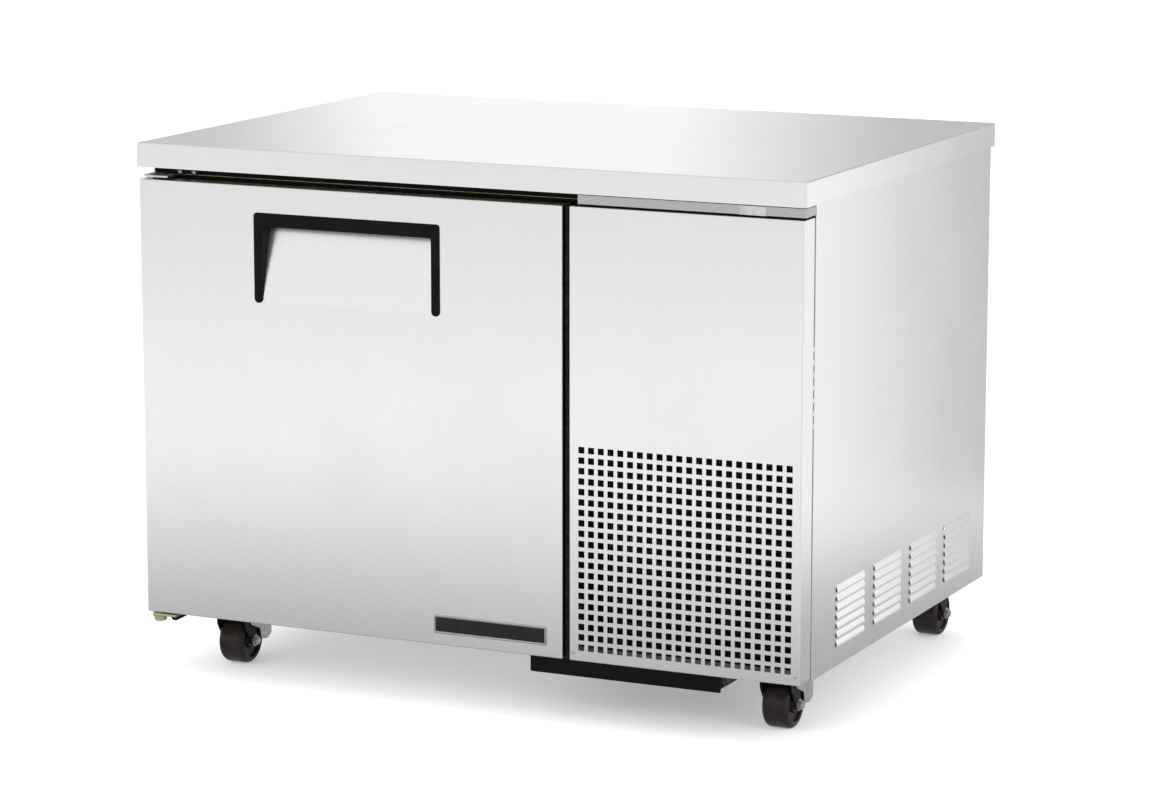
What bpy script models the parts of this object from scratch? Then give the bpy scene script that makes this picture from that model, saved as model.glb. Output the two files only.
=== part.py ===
"""Undercounter refrigerator with one door on the left and a condensing unit on the right.

The cabinet stands on four swivel castors. The origin is on the floor under the
middle of the cabinet, +X is to the right, +Y to the back and +Z up. All sizes are in metres.
"""

import math

import bmesh
import bpy
from mathutils import Matrix, Vector

# ---------------------------------------------------------------- driving dimensions
WIDTH = 1.130
DEPTH = 0.823
HEIGHT = 0.856
CASTOR_HEIGHT = 0.100
SHEET = 0.0012
GAP = 0.0004

# cabinet
LIP_HEIGHT = 0.038
LOUVRE_PROUD = 0.003
SIDE_X = WIDTH / 2 - LOUVRE_PROUD - 0.0005
INNER_X = SIDE_X - SHEET - GAP
REAR_Y = DEPTH / 2 - 0.0105
BODY_TOP = HEIGHT - SHEET - GAP
BODY_BOTTOM = CASTOR_HEIGHT + SHEET + GAP
RAIL_BOTTOM = HEIGHT - 0.052
PARTITION_X = 0.179
SUPPLY_INLET = (0.500, 0.560)

# door and grille
DOOR_FACE_Y = -DEPTH / 2 + 0.0035
FACE_Y = DOOR_FACE_Y + 0.044
DOOR_BACK_Y = FACE_Y - 0.011
DOOR_LEFT = -0.563
DOOR_RIGHT = 0.171
DOOR_BOTTOM = CASTOR_HEIGHT + 0.002
DOOR_TOP = HEIGHT - 0.0572
LINER_THICKNESS = 0.004
GASKET_WIDTH = 0.022
GRILLE_LEFT = DOOR_RIGHT + 0.012
GRILLE_RIGHT = SIDE_X - 0.0015

# hinge
HINGE_X = DOOR_LEFT + 0.014
HINGE_Y = DOOR_FACE_Y + 0.016
HINGE_PIN_RADIUS = 0.005
HINGE_PIN_REACH = 0.026
HINGE_ARM_RIGHT = DOOR_LEFT + 0.049

# handle
HANDLE_X = (DOOR_LEFT + DOOR_RIGHT) / 2
HANDLE_WIDTH = 0.323
HANDLE_TOP = HEIGHT - 0.0985
HANDLE_BOTTOM = HEIGHT - 0.240
HANDLE_BAR = 0.0215
HANDLE_LEG = 0.0145
HANDLE_DEPTH = 0.026
HANDLE_PROUD = 0.0018

# punched holes of the grille
HOLE_SIZE = 0.010
HOLE_PITCH = 0.0161
HOLE_COLUMNS = 22
HOLE_ROWS = 20
FIRST_HOLE_X = GRILLE_LEFT + 0.020
FIRST_HOLE_Z = DOOR_BOTTOM + 0.0215

# louvres of the right side panel
LOUVRE_COLUMNS = 4
LOUVRE_ROWS = 7
LOUVRE_LENGTH = 0.115
LOUVRE_PITCH_Y = 0.1585
LOUVRE_PITCH_Z = 0.0142
LOUVRE_MOUTH = 0.0006
LOUVRE_TAPER = 0.004
FIRST_LOUVRE_Y = -0.209
FIRST_LOUVRE_Z = CASTOR_HEIGHT + 0.035

# cold compartment
CAVITY_LEFT = -0.513
CAVITY_RIGHT = 0.122
CAVITY_BOTTOM = 0.158
CAVITY_TOP = 0.752
CAVITY_BACK = 0.345
EVAPORATOR_FRONT_Y = 0.165
EVAPORATOR_BOTTOM = 0.600
EVAPORATOR_FAN = Vector((-0.255, EVAPORATOR_FRONT_Y + 0.011, 0.678))
EVAPORATOR_FAN_RADIUS = 0.050
KNOB = Vector((0.010, EVAPORATOR_FRONT_Y, 0.678))
PILASTER = 0.006
SHELF_HEIGHTS = (0.262, 0.432)
SHELF_LEFT = CAVITY_LEFT + 0.021
SHELF_RIGHT = CAVITY_RIGHT - 0.021
SHELF_FRONT = FACE_Y + 0.030
SHELF_BACK = EVAPORATOR_FRONT_Y - 0.015
PILASTER_Y = (SHELF_FRONT + 0.060, SHELF_BACK - 0.060)

# machine compartment
DECK_TOP = CASTOR_HEIGHT + 0.0045
COMPRESSOR = (0.360, 0.140)
CONDENSER_FAN = Vector((0.372, -0.246, 0.285))
CONDENSER_FAN_RADIUS = 0.118
BLADE_PITCH = math.radians(24)

# condensate pan
PAN_LEFT = 0.099
PAN_RIGHT = 0.417
PAN_FRONT = FACE_Y - 0.007
PAN_BACK = -0.040
PAN_BOTTOM = 0.067
PAN_RAIL = PAN_BOTTOM + 0.0145

# castors
CASTOR_LEFT_X = -0.467
CASTOR_RIGHT_X = 0.482
CASTOR_FRONT_Y = -0.301
CASTOR_REAR_Y = 0.350
CASTOR_TRAIL = 0.022
CASTOR_PLATE_HALF = (0.032, 0.044)
WHEEL_RADIUS = 0.038
WHEEL_WIDTH = 0.044
WHEEL_SIDES = 20
AXLE_Z = WHEEL_RADIUS * math.cos(math.pi / WHEEL_SIDES)
BRAKE_PIN_Y = 0.012
BRAKE_PIN_Z = 0.074

QUARTER = math.pi / 2

# base colour, roughness and metallic value of each finish
STEEL = ((0.72, 0.72, 0.73), 0.32, 1.0)
GALVANISED = ((0.60, 0.62, 0.63), 0.45, 1.0)
ZINC = ((0.66, 0.65, 0.60), 0.40, 1.0)
ALUMINIUM = ((0.80, 0.81, 0.82), 0.38, 1.0)
COPPER = ((0.72, 0.40, 0.24), 0.30, 1.0)
BLACK_PLASTIC = ((0.018, 0.018, 0.020), 0.45, 0.0)
BLACK_PAINT = ((0.020, 0.020, 0.021), 0.38, 0.0)
WHITE_PLASTIC = ((0.82, 0.83, 0.82), 0.40, 0.0)
GREY_VINYL = ((0.10, 0.10, 0.11), 0.60, 0.0)
FOAM = ((0.85, 0.74, 0.48), 0.90, 0.0)
WHEEL_RUBBER = ((0.045, 0.032, 0.030), 0.35, 0.0)
COATED_WIRE = ((0.86, 0.87, 0.86), 0.35, 0.0)


# ---------------------------------------------------------------- scene helpers
def fresh_collections():
    for obj in list(bpy.data.objects):
        bpy.data.objects.remove(obj, do_unlink=True)
    made = []
    for name in ("undercounter_refrigerator", "cutters"):
        collection = bpy.data.collections.new(name)
        bpy.context.scene.collection.children.link(collection)
        made.append(collection)
    return made


PARTS, CUTTERS = fresh_collections()


def material(name, look):
    colour, roughness, metallic = look
    made = bpy.data.materials.new(name)
    made.use_nodes = True
    shader = made.node_tree.nodes["Principled BSDF"]
    shader.inputs["Base Color"].default_value = (*colour, 1.0)
    shader.inputs["Roughness"].default_value = roughness
    shader.inputs["Metallic"].default_value = metallic
    made.diffuse_color = (*colour, 1.0)
    return made


def link(name, data, look=None):
    """A new object: with a look it is a part, and without one it is a cutter or a shape to join."""
    obj = bpy.data.objects.new(name, data)
    if look is None:
        CUTTERS.objects.link(obj)
        obj.hide_render = True
        obj.display_type = "WIRE"
    else:
        PARTS.objects.link(obj)
        data.materials.clear()
        data.materials.append(material("mat_" + name, look))
    return obj


def mesh_from(bm, name):
    bmesh.ops.recalc_face_normals(bm, faces=bm.faces)
    mesh = bpy.data.meshes.new(name)
    bm.to_mesh(mesh)
    bm.free()
    return mesh


def cube(low, high):
    """A cube's mesh about its own middle, that middle, and the mesh's corners."""
    size = [high[k] - low[k] for k in range(3)]
    middle = [(high[k] + low[k]) / 2 for k in range(3)]
    bm = bmesh.new()
    bmesh.ops.create_cube(bm, size=1.0, matrix=Matrix.Diagonal((*size, 1.0)))
    return bm, middle


def box(name, low, high, look=None, bevel=0.0, segments=1):
    bm, middle = cube(low, high)
    obj = link(name, mesh_from(bm, name), look)
    obj.location = middle
    if bevel:
        round_edges(obj, bevel, segments)
    return obj


def round_edges(obj, width, segments=1):
    modifier = obj.modifiers.new("edges", "BEVEL")
    modifier.width = width
    modifier.segments = segments
    modifier.limit_method = "ANGLE"
    modifier.angle_limit = math.radians(40)


def point_along(obj, axis):
    """Turns an object that was made along Z so that it lies along the axis."""
    obj.rotation_euler = {"X": (0.0, QUARTER, 0.0), "Y": (QUARTER, 0.0, 0.0), "Z": (0.0, 0.0, 0.0)}[axis]


def cylinder(name, centre, radius, length, look=None, axis="Z", sides=24):
    bm = bmesh.new()
    bmesh.ops.create_cone(bm, cap_ends=True, segments=sides, radius1=radius, radius2=radius, depth=length)
    obj = link(name, mesh_from(bm, name), look)
    obj.location = centre
    point_along(obj, axis)
    smooth(obj)
    return obj


def smooth(obj, degrees=40):
    obj.data.shade_smooth()
    obj.data.set_sharp_from_angle(angle=math.radians(degrees))


def folded_sheet(name, low, high, open_sides, look=None, thickness=SHEET, bend=0.0):
    """A box of sheet metal without the faces on its open sides, such as ("-Y", "-Z")."""
    bm, middle = cube(low, high)
    bm.normal_update()
    gone = []
    for side in open_sides:
        sign = 1 if side[0] == "+" else -1
        axis = "XYZ".index(side[1])
        gone += [face for face in bm.faces if face.normal[axis] * sign > 0.9]
    bmesh.ops.delete(bm, geom=gone, context="FACES")
    mesh = bpy.data.meshes.new(name)
    bm.to_mesh(mesh)
    bm.free()
    obj = link(name, mesh, look)
    obj.location = middle
    if bend:
        round_edges(obj, bend, 2)
    thicken = obj.modifiers.new("sheet", "SOLIDIFY")
    thicken.thickness = thickness
    thicken.offset = -1.0
    thicken.use_even_offset = True
    return obj


def repeat(obj, count, step):
    array = obj.modifiers.new("repeat", "ARRAY")
    array.count = count
    array.use_relative_offset = False
    array.use_constant_offset = True
    array.constant_offset_displace = step


def boolean(obj, other, operation):
    modifier = obj.modifiers.new(operation.lower(), "BOOLEAN")
    modifier.operation = operation
    modifier.solver = "EXACT"
    modifier.object = other


def cut(obj, *cutters):
    for cutter in cutters:
        boolean(obj, cutter, "DIFFERENCE")
    return obj


def join(obj, *others):
    for other in others:
        boolean(obj, other, "UNION")
    return obj


def turned(name, profile, centre, look=None, axis="Z", steps=24, start=0.0, ring=False):
    """A turned solid from (radius, height) points that run down its outer side; a ring's loop closes."""
    mesh = bpy.data.meshes.new(name)
    edges = [(k, k + 1) for k in range(len(profile) - 1)]
    if ring:
        edges.append((len(profile) - 1, 0))
    mesh.from_pydata([(radius, 0.0, height) for radius, height in profile], edges, [])
    obj = link(name, mesh, look)
    obj.location = centre
    point_along(obj, axis)
    if start:
        obj.rotation_mode = "ZYX"
        obj.rotation_euler[2] = start
    screw = obj.modifiers.new("turn", "SCREW")
    screw.steps = steps
    screw.render_steps = steps
    screw.use_merge_vertices = True
    screw.merge_threshold = 0.00001
    screw.use_smooth_shade = True
    return obj


def new_curve(name, points, cyclic):
    curve = bpy.data.curves.new(name, "CURVE")
    spline = curve.splines.new("POLY")
    spline.points.add(len(points) - 1)
    spline.use_cyclic_u = cyclic
    for point, place in zip(spline.points, points):
        point.co = (*place, 1.0)
    return curve


def plate(name, outline, low, high, axis, look=None):
    """A flat outline drawn out from low to high along the axis. Its points are in the two other
    world coordinates, in the order X, Y, Z."""
    curve = new_curve(name, [(*point, 0.0) for point in outline], True)
    curve.dimensions = "2D"
    curve.fill_mode = "BOTH"
    curve.extrude = (high - low) / 2
    drawn = bpy.data.objects.new(name + "_outline", curve)
    CUTTERS.objects.link(drawn)
    lie = {
        "X": Matrix.Rotation(QUARTER, 4, "Z") @ Matrix.Rotation(QUARTER, 4, "X"),
        "Y": Matrix.Rotation(QUARTER, 4, "X"),
        "Z": Matrix(),
    }[axis]
    middle = Vector([(high + low) / 2 if letter == axis else 0.0 for letter in "XYZ"])
    drawn.matrix_world = Matrix.Translation(middle) @ lie
    return mesh_of_curve(drawn, name, look)


def mesh_of_curve(drawn, name, look):
    """A curve's solid as a mesh object in the curve's place, so that a Boolean can use it."""
    bpy.context.view_layer.update()
    graph = bpy.context.evaluated_depsgraph_get()
    mesh = bpy.data.meshes.new_from_object(drawn.evaluated_get(graph))
    bm = bmesh.new()
    bm.from_mesh(mesh)
    bpy.data.meshes.remove(mesh)
    bmesh.ops.remove_doubles(bm, verts=bm.verts, dist=0.00001)
    obj = link(name, mesh_from(bm, name), look)
    obj.matrix_world = drawn.matrix_world
    bpy.data.objects.remove(drawn, do_unlink=True)
    return obj


def rounded(corners, radii, steps=3):
    """The outline through the corners, with each corner turned into an arc of its radius."""
    outline = []
    for k, (corner, radius) in enumerate(zip(corners, radii)):
        here = Vector(corner)
        if not radius:
            outline.append(tuple(here))
            continue
        before = (Vector(corners[k - 1]) - here).normalized()
        after = (Vector(corners[(k + 1) % len(corners)]) - here).normalized()
        half_angle = before.angle(after) / 2
        centre = here + (before + after).normalized() * radius / math.sin(half_angle)
        first = here + before * radius / math.tan(half_angle) - centre
        last = here + after * radius / math.tan(half_angle) - centre
        start = math.atan2(first.y, first.x)
        sweep = (math.atan2(last.y, last.x) - start + math.pi) % math.tau - math.pi
        for step in range(steps + 1):
            angle = start + sweep * step / steps
            outline.append((centre.x + radius * math.cos(angle), centre.y + radius * math.sin(angle)))
    return outline


def smooth_line(points, per_span=4):
    """Points along a smooth curve through the given ones."""
    ends = [points[0] * 2 - points[1], *points, points[-1] * 2 - points[-2]]
    line = []
    for a, b, c, d in zip(ends, ends[1:], ends[2:], ends[3:]):
        for step in range(per_span):
            t = step / per_span
            bend = (2 * a - 5 * b + 4 * c - d) * t * t + (3 * b - a - 3 * c + d) * t**3
            line.append((2 * b + (c - a) * t + bend) / 2)
    return [*line, points[-1]]


def tube(name, points, radius, look):
    curve = new_curve(name, smooth_line([Vector(point) for point in points]), False)
    curve.dimensions = "3D"
    curve.bevel_depth = radius
    curve.bevel_resolution = 2
    curve.use_fill_caps = True
    return link(name, curve, look)


def under(parent, *children):
    for child in children:
        child.parent = parent
        child.matrix_parent_inverse = parent.matrix_world.inverted()


def pivot(name, place):
    empty = bpy.data.objects.new(name, None)
    empty.location = place
    PARTS.objects.link(empty)
    bpy.context.view_layer.update()
    return empty


# ---------------------------------------------------------------- cabinet
def worktop():
    low = (-WIDTH / 2, -DEPTH / 2, HEIGHT - LIP_HEIGHT)
    high = (WIDTH / 2, DEPTH / 2, HEIGHT)
    folded_sheet("worktop", low, high, ("-Z",), STEEL, bend=0.0025)


def insulated_body():
    """The foamed walls of the cold compartment, in one block with its front open."""
    low = (-INNER_X, FACE_Y + 0.002, BODY_BOTTOM)
    body = box("insulated_body", low, (PARTITION_X, REAR_Y - SHEET - GAP, BODY_TOP), FOAM)
    room = SHEET + GAP
    cavity = box(
        "cavity_cutter",
        (CAVITY_LEFT - room, FACE_Y - 0.01, CAVITY_BOTTOM - room),
        (CAVITY_RIGHT + room, CAVITY_BACK + room, CAVITY_TOP + room),
    )
    cut(body, cavity)


def inner_liner():
    low = (CAVITY_LEFT - SHEET, FACE_Y + 0.0025, CAVITY_BOTTOM - SHEET)
    high = (CAVITY_RIGHT + SHEET, CAVITY_BACK + SHEET, CAVITY_TOP + SHEET)
    folded_sheet("inner_liner", low, high, ("-Y",), ALUMINIUM)


def door_frame():
    """The black breaker strip round the door opening."""
    low = (-INNER_X, FACE_Y, BODY_BOTTOM)
    frame = box("door_frame", low, (PARTITION_X, FACE_Y + 0.0017, RAIL_BOTTOM - 0.001), BLACK_PLASTIC)
    opening = box(
        "frame_opening_cutter",
        (CAVITY_LEFT, FACE_Y - 0.01, CAVITY_BOTTOM),
        (CAVITY_RIGHT, FACE_Y + 0.01, CAVITY_TOP),
    )
    cut(frame, opening)


def left_side_panel():
    low = (-SIDE_X, FACE_Y, CASTOR_HEIGHT)
    box("left_side_panel", low, (-SIDE_X + SHEET, REAR_Y, BODY_TOP), STEEL)


def louvre_wedges(name, inset, reach):
    """A wedge for each louvre: level with the panel at its top edge, and proud of it at its bottom."""
    half = LOUVRE_LENGTH / 2 - inset
    top = LOUVRE_PITCH_Z * 0.42 - inset
    bottom = -LOUVRE_PITCH_Z * 0.36 - (LOUVRE_MOUTH if inset else 0.0)
    bm, middle = cube((-reach, -half, bottom), (LOUVRE_PROUD - inset, half, top))
    for vert in bm.verts:
        if vert.co.x > 0:
            vert.co.y -= math.copysign(LOUVRE_TAPER, vert.co.y)
            if vert.co.z > 0:
                vert.co.x -= LOUVRE_PROUD - GAP
    wedges = link(name, mesh_from(bm, name))
    wedges.location = (SIDE_X + middle[0], FIRST_LOUVRE_Y, FIRST_LOUVRE_Z + middle[2])
    repeat(wedges, LOUVRE_COLUMNS, (0, LOUVRE_PITCH_Y, 0))
    repeat(wedges, LOUVRE_ROWS, (0, 0, LOUVRE_PITCH_Z))
    return wedges


def right_side_panel():
    low = (SIDE_X - SHEET, FACE_Y, CASTOR_HEIGHT)
    panel = box("right_side_panel", low, (SIDE_X, REAR_Y, BODY_TOP), STEEL)
    join(panel, louvre_wedges("louvre_hoods", 0.0, SHEET / 2))
    cut(panel, louvre_wedges("louvre_openings", 0.0007, 3 * SHEET))


def rear_panel():
    low = (-INNER_X, REAR_Y - SHEET, BODY_BOTTOM)
    panel = box("rear_panel", low, (INNER_X, REAR_Y, BODY_TOP), GALVANISED)
    slots = box("rear_slot_cutter", (0.235, REAR_Y - 0.01, 0.170), (0.525, REAR_Y + 0.01, 0.178))
    repeat(slots, 14, (0, 0, 0.022))
    x, z = SUPPLY_INLET
    cut(panel, slots, cylinder("rear_inlet_cutter", (x, REAR_Y, z), 0.0115, 0.02, axis="Y", sides=16))


def bottom_panel():
    low = (-INNER_X, FACE_Y, CASTOR_HEIGHT)
    box("bottom_panel", low, (INNER_X, REAR_Y, CASTOR_HEIGHT + SHEET), GALVANISED)


def top_front_rail():
    """The black rail across the front of the cabinet, in the shadow gap under the worktop's lip."""
    low = (-INNER_X, FACE_Y, RAIL_BOTTOM)
    box("top_front_rail", low, (INNER_X, FACE_Y + 0.0016, HEIGHT - LIP_HEIGHT - 0.001), BLACK_PLASTIC)


def grille_top_channel():
    low = (GRILLE_LEFT + 0.012, DOOR_FACE_Y + 0.004, DOOR_TOP + 0.0035)
    high = (SIDE_X, FACE_Y - 0.001, HEIGHT - LIP_HEIGHT - 0.0022)
    folded_sheet("grille_top_channel", low, high, ("+Y", "+Z"), STEEL)


def mullion_trim():
    """The black strip that closes the gap between the door and the grille."""
    low = (DOOR_RIGHT + 0.003, DOOR_FACE_Y + 0.004, DOOR_BOTTOM)
    box("mullion_trim", low, (GRILLE_LEFT - 0.001, FACE_Y - GAP, DOOR_TOP), BLACK_PLASTIC, bevel=0.001)


def supply_inlet():
    """The gland for the mains supply, in the rear panel of the machine compartment."""
    x, z = SUPPLY_INLET
    gland = cylinder("supply_inlet", (x, REAR_Y - 0.001, z), 0.0108, 0.020, BLACK_PLASTIC, "Y", 16)
    join(gland, cylinder("inlet_flange", (x, REAR_Y + 0.0034, z), 0.0165, 0.006, axis="Y", sides=6))
    cut(gland, cylinder("inlet_bore", (x, REAR_Y, z), 0.0055, 0.06, axis="Y", sides=16))


def grille_panel():
    """The lift-off front of the machine compartment, punched with square holes."""
    low = (GRILLE_LEFT, DOOR_FACE_Y, DOOR_BOTTOM)
    panel = folded_sheet(
        "grille_panel", low, (GRILLE_RIGHT, FACE_Y - 0.0008, DOOR_TOP), ("+Y",), STEEL, bend=0.0015
    )
    half = HOLE_SIZE / 2
    holes = box(
        "grille_holes",
        (FIRST_HOLE_X - half, DOOR_FACE_Y - 0.003, FIRST_HOLE_Z - half),
        (FIRST_HOLE_X + half, DOOR_FACE_Y + 0.005, FIRST_HOLE_Z + half),
    )
    repeat(holes, HOLE_COLUMNS, (HOLE_PITCH, 0, 0))
    repeat(holes, HOLE_ROWS, (0, 0, HOLE_PITCH))
    cut(panel, holes)


# ---------------------------------------------------------------- door hinges
def hinge_bracket(name, arm_low, arm_high, pin_low, pin_high):
    """A flat steel arm with a round end over the hinge axis, and a fixed pin."""
    end = 0.012
    back = FACE_Y - 0.001
    corners = [
        (HINGE_X - end, HINGE_Y - end),
        (HINGE_X - end, back),
        (HINGE_ARM_RIGHT, back),
        (HINGE_ARM_RIGHT, HINGE_Y - end),
    ]
    arm = plate(name, rounded(corners, [end - 0.0005, 0.0, 0.0, 0.004], 5), arm_low, arm_high, "Z", ZINC)
    pin_middle = (HINGE_X, HINGE_Y, (pin_low + pin_high) / 2)
    return join(arm, cylinder(name + "_pin", pin_middle, HINGE_PIN_RADIUS, pin_high - pin_low, sides=16))


def hinge_bracket_top():
    low = DOOR_TOP + 0.003
    bracket = hinge_bracket("hinge_bracket_top", low, low + 0.003, DOOR_TOP - HINGE_PIN_REACH, low + 0.0045)
    left = DOOR_LEFT + 0.004
    foot = box("top_foot", (left, FACE_Y - 0.0035, low), (left + 0.081, FACE_Y - 0.0006, low + 0.012))
    join(bracket, foot)


def hinge_bracket_bottom():
    """The lower bracket, whose foot runs back under the cabinet beside the castor's plate."""
    high = DOOR_BOTTOM - 0.003
    low = high - 0.004
    bracket = hinge_bracket("hinge_bracket_bottom", low, high, low - 0.003, DOOR_BOTTOM + HINGE_PIN_REACH)
    right = CASTOR_LEFT_X - CASTOR_PLATE_HALF[0] - 0.002
    foot = box(
        "bottom_foot",
        (DOOR_LEFT + 0.004, FACE_Y - 0.002, low + 0.0005),
        (right, FACE_Y + 0.050, high - GAP),
    )
    join(bracket, foot)


# ---------------------------------------------------------------- door
def door_skin():
    low = (DOOR_LEFT, DOOR_FACE_Y, DOOR_BOTTOM)
    high = (DOOR_RIGHT, DOOR_BACK_Y - LINER_THICKNESS, DOOR_TOP)
    skin = folded_sheet("door_skin", low, high, ("+Y",), STEEL, bend=0.0015)
    half = HANDLE_WIDTH / 2 - 0.003
    window = box(
        "handle_window_cutter",
        (HANDLE_X - half, DOOR_FACE_Y - 0.01, HANDLE_BOTTOM + 0.003),
        (HANDLE_X + half, DOOR_FACE_Y + 0.01, HANDLE_TOP - 0.003),
    )
    cut(skin, window, hinge_bore("skin_hinge_bore", 0.008))
    return skin


def hinge_bore(name, radius):
    """A hole the whole height of the door, on the hinge axis."""
    middle = (HINGE_X, HINGE_Y, (DOOR_TOP + DOOR_BOTTOM) / 2)
    return cylinder(name, middle, radius, DOOR_TOP - DOOR_BOTTOM + 0.1, sides=16)


def door_foam_core():
    room = SHEET + GAP
    low = (DOOR_LEFT + room, DOOR_FACE_Y + room, DOOR_BOTTOM + room)
    high = (DOOR_RIGHT - room, DOOR_BACK_Y - LINER_THICKNESS - GAP, DOOR_TOP - room)
    core = box("door_foam_core", low, high, FOAM)
    cut(core, handle_pocket("core_pocket_cutter"), hinge_bore("core_hinge_bore", 0.0095))
    return core


def handle_pocket(name):
    """The room for the handle's pocket: deepest at the top, running out at the bottom."""
    half = HANDLE_WIDTH / 2 + 0.0018
    front = DOOR_FACE_Y - 0.010
    deep = DOOR_FACE_Y + HANDLE_DEPTH + 0.0018
    outline = [
        (front, HANDLE_BOTTOM - 0.004),
        (DOOR_FACE_Y + 0.004, HANDLE_BOTTOM - 0.004),
        (deep, HANDLE_TOP - HANDLE_BAR),
        (deep, HANDLE_TOP + 0.0018),
        (front, HANDLE_TOP + 0.0018),
    ]
    return plate(name, outline, HANDLE_X - half, HANDLE_X + half, "X")


def door_inner_liner():
    """The white moulded back of the door, with a raised panel and a shallow dish in it."""
    edge = 0.0005
    low = (DOOR_LEFT + edge, DOOR_BACK_Y - LINER_THICKNESS, DOOR_BOTTOM + edge)
    liner = box("door_inner_liner", low, (DOOR_RIGHT - edge, DOOR_BACK_Y, DOOR_TOP - edge), WHITE_PLASTIC)
    inset = 0.020
    rim = inset + 0.050
    raised = box(
        "liner_raised_panel",
        (CAVITY_LEFT + inset, DOOR_BACK_Y - 0.001, CAVITY_BOTTOM + inset),
        (CAVITY_RIGHT - inset, DOOR_BACK_Y + 0.016, CAVITY_TOP - inset),
        bevel=0.006,
        segments=2,
    )
    dish = box(
        "liner_dish_cutter",
        (CAVITY_LEFT + rim, DOOR_BACK_Y + 0.002, CAVITY_BOTTOM + rim),
        (CAVITY_RIGHT - rim, DOOR_BACK_Y + 0.030, CAVITY_TOP - rim),
    )
    cut(join(liner, raised), dish)
    return liner


def door_gasket():
    """The magnetic gasket: a closed ring between the door's back and the cabinet's face."""
    left, right = DOOR_LEFT + 0.018, DOOR_RIGHT - 0.006
    bottom, top = DOOR_BOTTOM + 0.010, DOOR_TOP - 0.006
    ring = box(
        "door_gasket", (left, DOOR_BACK_Y + GAP, bottom), (right, FACE_Y - GAP, top), GREY_VINYL, bevel=0.0025
    )
    inner = box(
        "gasket_cutter",
        (left + GASKET_WIDTH, DOOR_BACK_Y - 0.01, bottom + GASKET_WIDTH),
        (right - GASKET_WIDTH, FACE_Y + 0.01, top - GASKET_WIDTH),
    )
    return cut(ring, inner)


def handle_bezel():
    """The black handle: a bar and two legs round the pocket, with tapering cheeks and a roof behind."""
    half = HANDLE_WIDTH / 2
    inner = half - HANDLE_LEG
    under_bar = HANDLE_TOP - HANDLE_BAR
    corners = [(-half, HANDLE_BOTTOM), (-half, HANDLE_TOP), (half, HANDLE_TOP), (half, HANDLE_BOTTOM)]
    corners += [(inner, HANDLE_BOTTOM), (inner, under_bar), (-inner, under_bar), (-inner, HANDLE_BOTTOM)]
    radii = [0.007, 0.005, 0.005, 0.007, 0.007, 0.003, 0.003, 0.007]
    outline = rounded([(HANDLE_X + x, z) for x, z in corners], radii)
    front = DOOR_FACE_Y - HANDLE_PROUD
    back = DOOR_FACE_Y + HANDLE_DEPTH
    bezel = plate("handle_bezel", outline, front, DOOR_FACE_Y - GAP, "Y", BLACK_PLASTIC)
    cheek = [
        (DOOR_FACE_Y - 0.001, HANDLE_BOTTOM + 0.006),
        (DOOR_FACE_Y + 0.0015, HANDLE_BOTTOM + 0.006),
        (back, under_bar),
        (back, HANDLE_TOP - 0.008),
        (DOOR_FACE_Y - 0.001, HANDLE_TOP - 0.008),
    ]
    for side, name in ((-1, "handle_cheek_left"), (1, "handle_cheek_right")):
        x = HANDLE_X + side * (inner + 0.002)
        join(bezel, plate(name, cheek, x - 0.0015, x + 0.0015, "X"))
    roof = box(
        "handle_roof",
        (HANDLE_X - inner - 0.001, DOOR_FACE_Y - 0.001, under_bar + GAP),
        (HANDLE_X + inner + 0.001, back, under_bar + 0.003),
    )
    return join(bezel, roof)


def handle_scoop():
    """The steel plate at the back of the pocket, which slopes out to the door's face at its foot."""
    half = HANDLE_WIDTH / 2 - HANDLE_LEG - 0.0002
    top = HANDLE_TOP - HANDLE_BAR - 0.0002
    foot = HANDLE_BOTTOM + 0.0034
    deep = DOOR_FACE_Y + HANDLE_DEPTH
    outline = [(DOOR_FACE_Y, foot), (DOOR_FACE_Y + 0.0014, foot), (deep, top), (deep - 0.0016, top)]
    return plate("handle_scoop", outline, HANDLE_X - half, HANDLE_X + half, "X", STEEL)


def door_badge():
    """A plain name plate with no lettering, low on the right of the door."""
    low = (-0.048, DOOR_FACE_Y - 0.0020, DOOR_BOTTOM + 0.0185)
    high = (0.144, DOOR_FACE_Y - GAP, DOOR_BOTTOM + 0.0475)
    return box("door_badge", low, high, BLACK_PAINT, bevel=0.0008)


def hinge_cartridge():
    """The self-closing sleeve in the foot of the door, which turns on the lower hinge pin."""
    middle = (HINGE_X, HINGE_Y, DOOR_BOTTOM + 0.061)
    sleeve = cylinder("hinge_cartridge", middle, 0.0075, 0.12, ZINC, sides=16)
    bore_middle = (HINGE_X, HINGE_Y, DOOR_BOTTOM + 0.020)
    return cut(sleeve, cylinder("cartridge_bore", bore_middle, HINGE_PIN_RADIUS + 0.0003, 0.060, sides=16))


# ---------------------------------------------------------------- machine compartment
def machine_deck():
    """The base tray of the condensing unit, with a front lip that shows through the lowest holes."""
    low = (PARTITION_X + 0.005, FACE_Y + 0.0005, BODY_BOTTOM)
    high = (SIDE_X - 0.006, 0.330, CASTOR_HEIGHT + 0.0125)
    folded_sheet("machine_deck", low, high, ("+Z",), GALVANISED, thickness=0.0015)


def compressor():
    """A hermetic compressor: a welded pot on a foot plate."""
    profile = [(0.0, 0.178), (0.032, 0.175), (0.056, 0.163), (0.070, 0.140), (0.074, 0.098), (0.079, 0.094)]
    profile += [(0.079, 0.086), (0.074, 0.082), (0.074, 0.035), (0.062, 0.010), (0.040, 0.0), (0.0, 0.0)]
    x, y = COMPRESSOR
    pot = turned("compressor", profile, (x, y, DECK_TOP + 0.012), BLACK_PAINT)
    feet = box("compressor_feet", (x - 0.095, y - 0.065, DECK_TOP), (x + 0.095, y + 0.065, DECK_TOP + 0.015))
    join(pot, feet)


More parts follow.
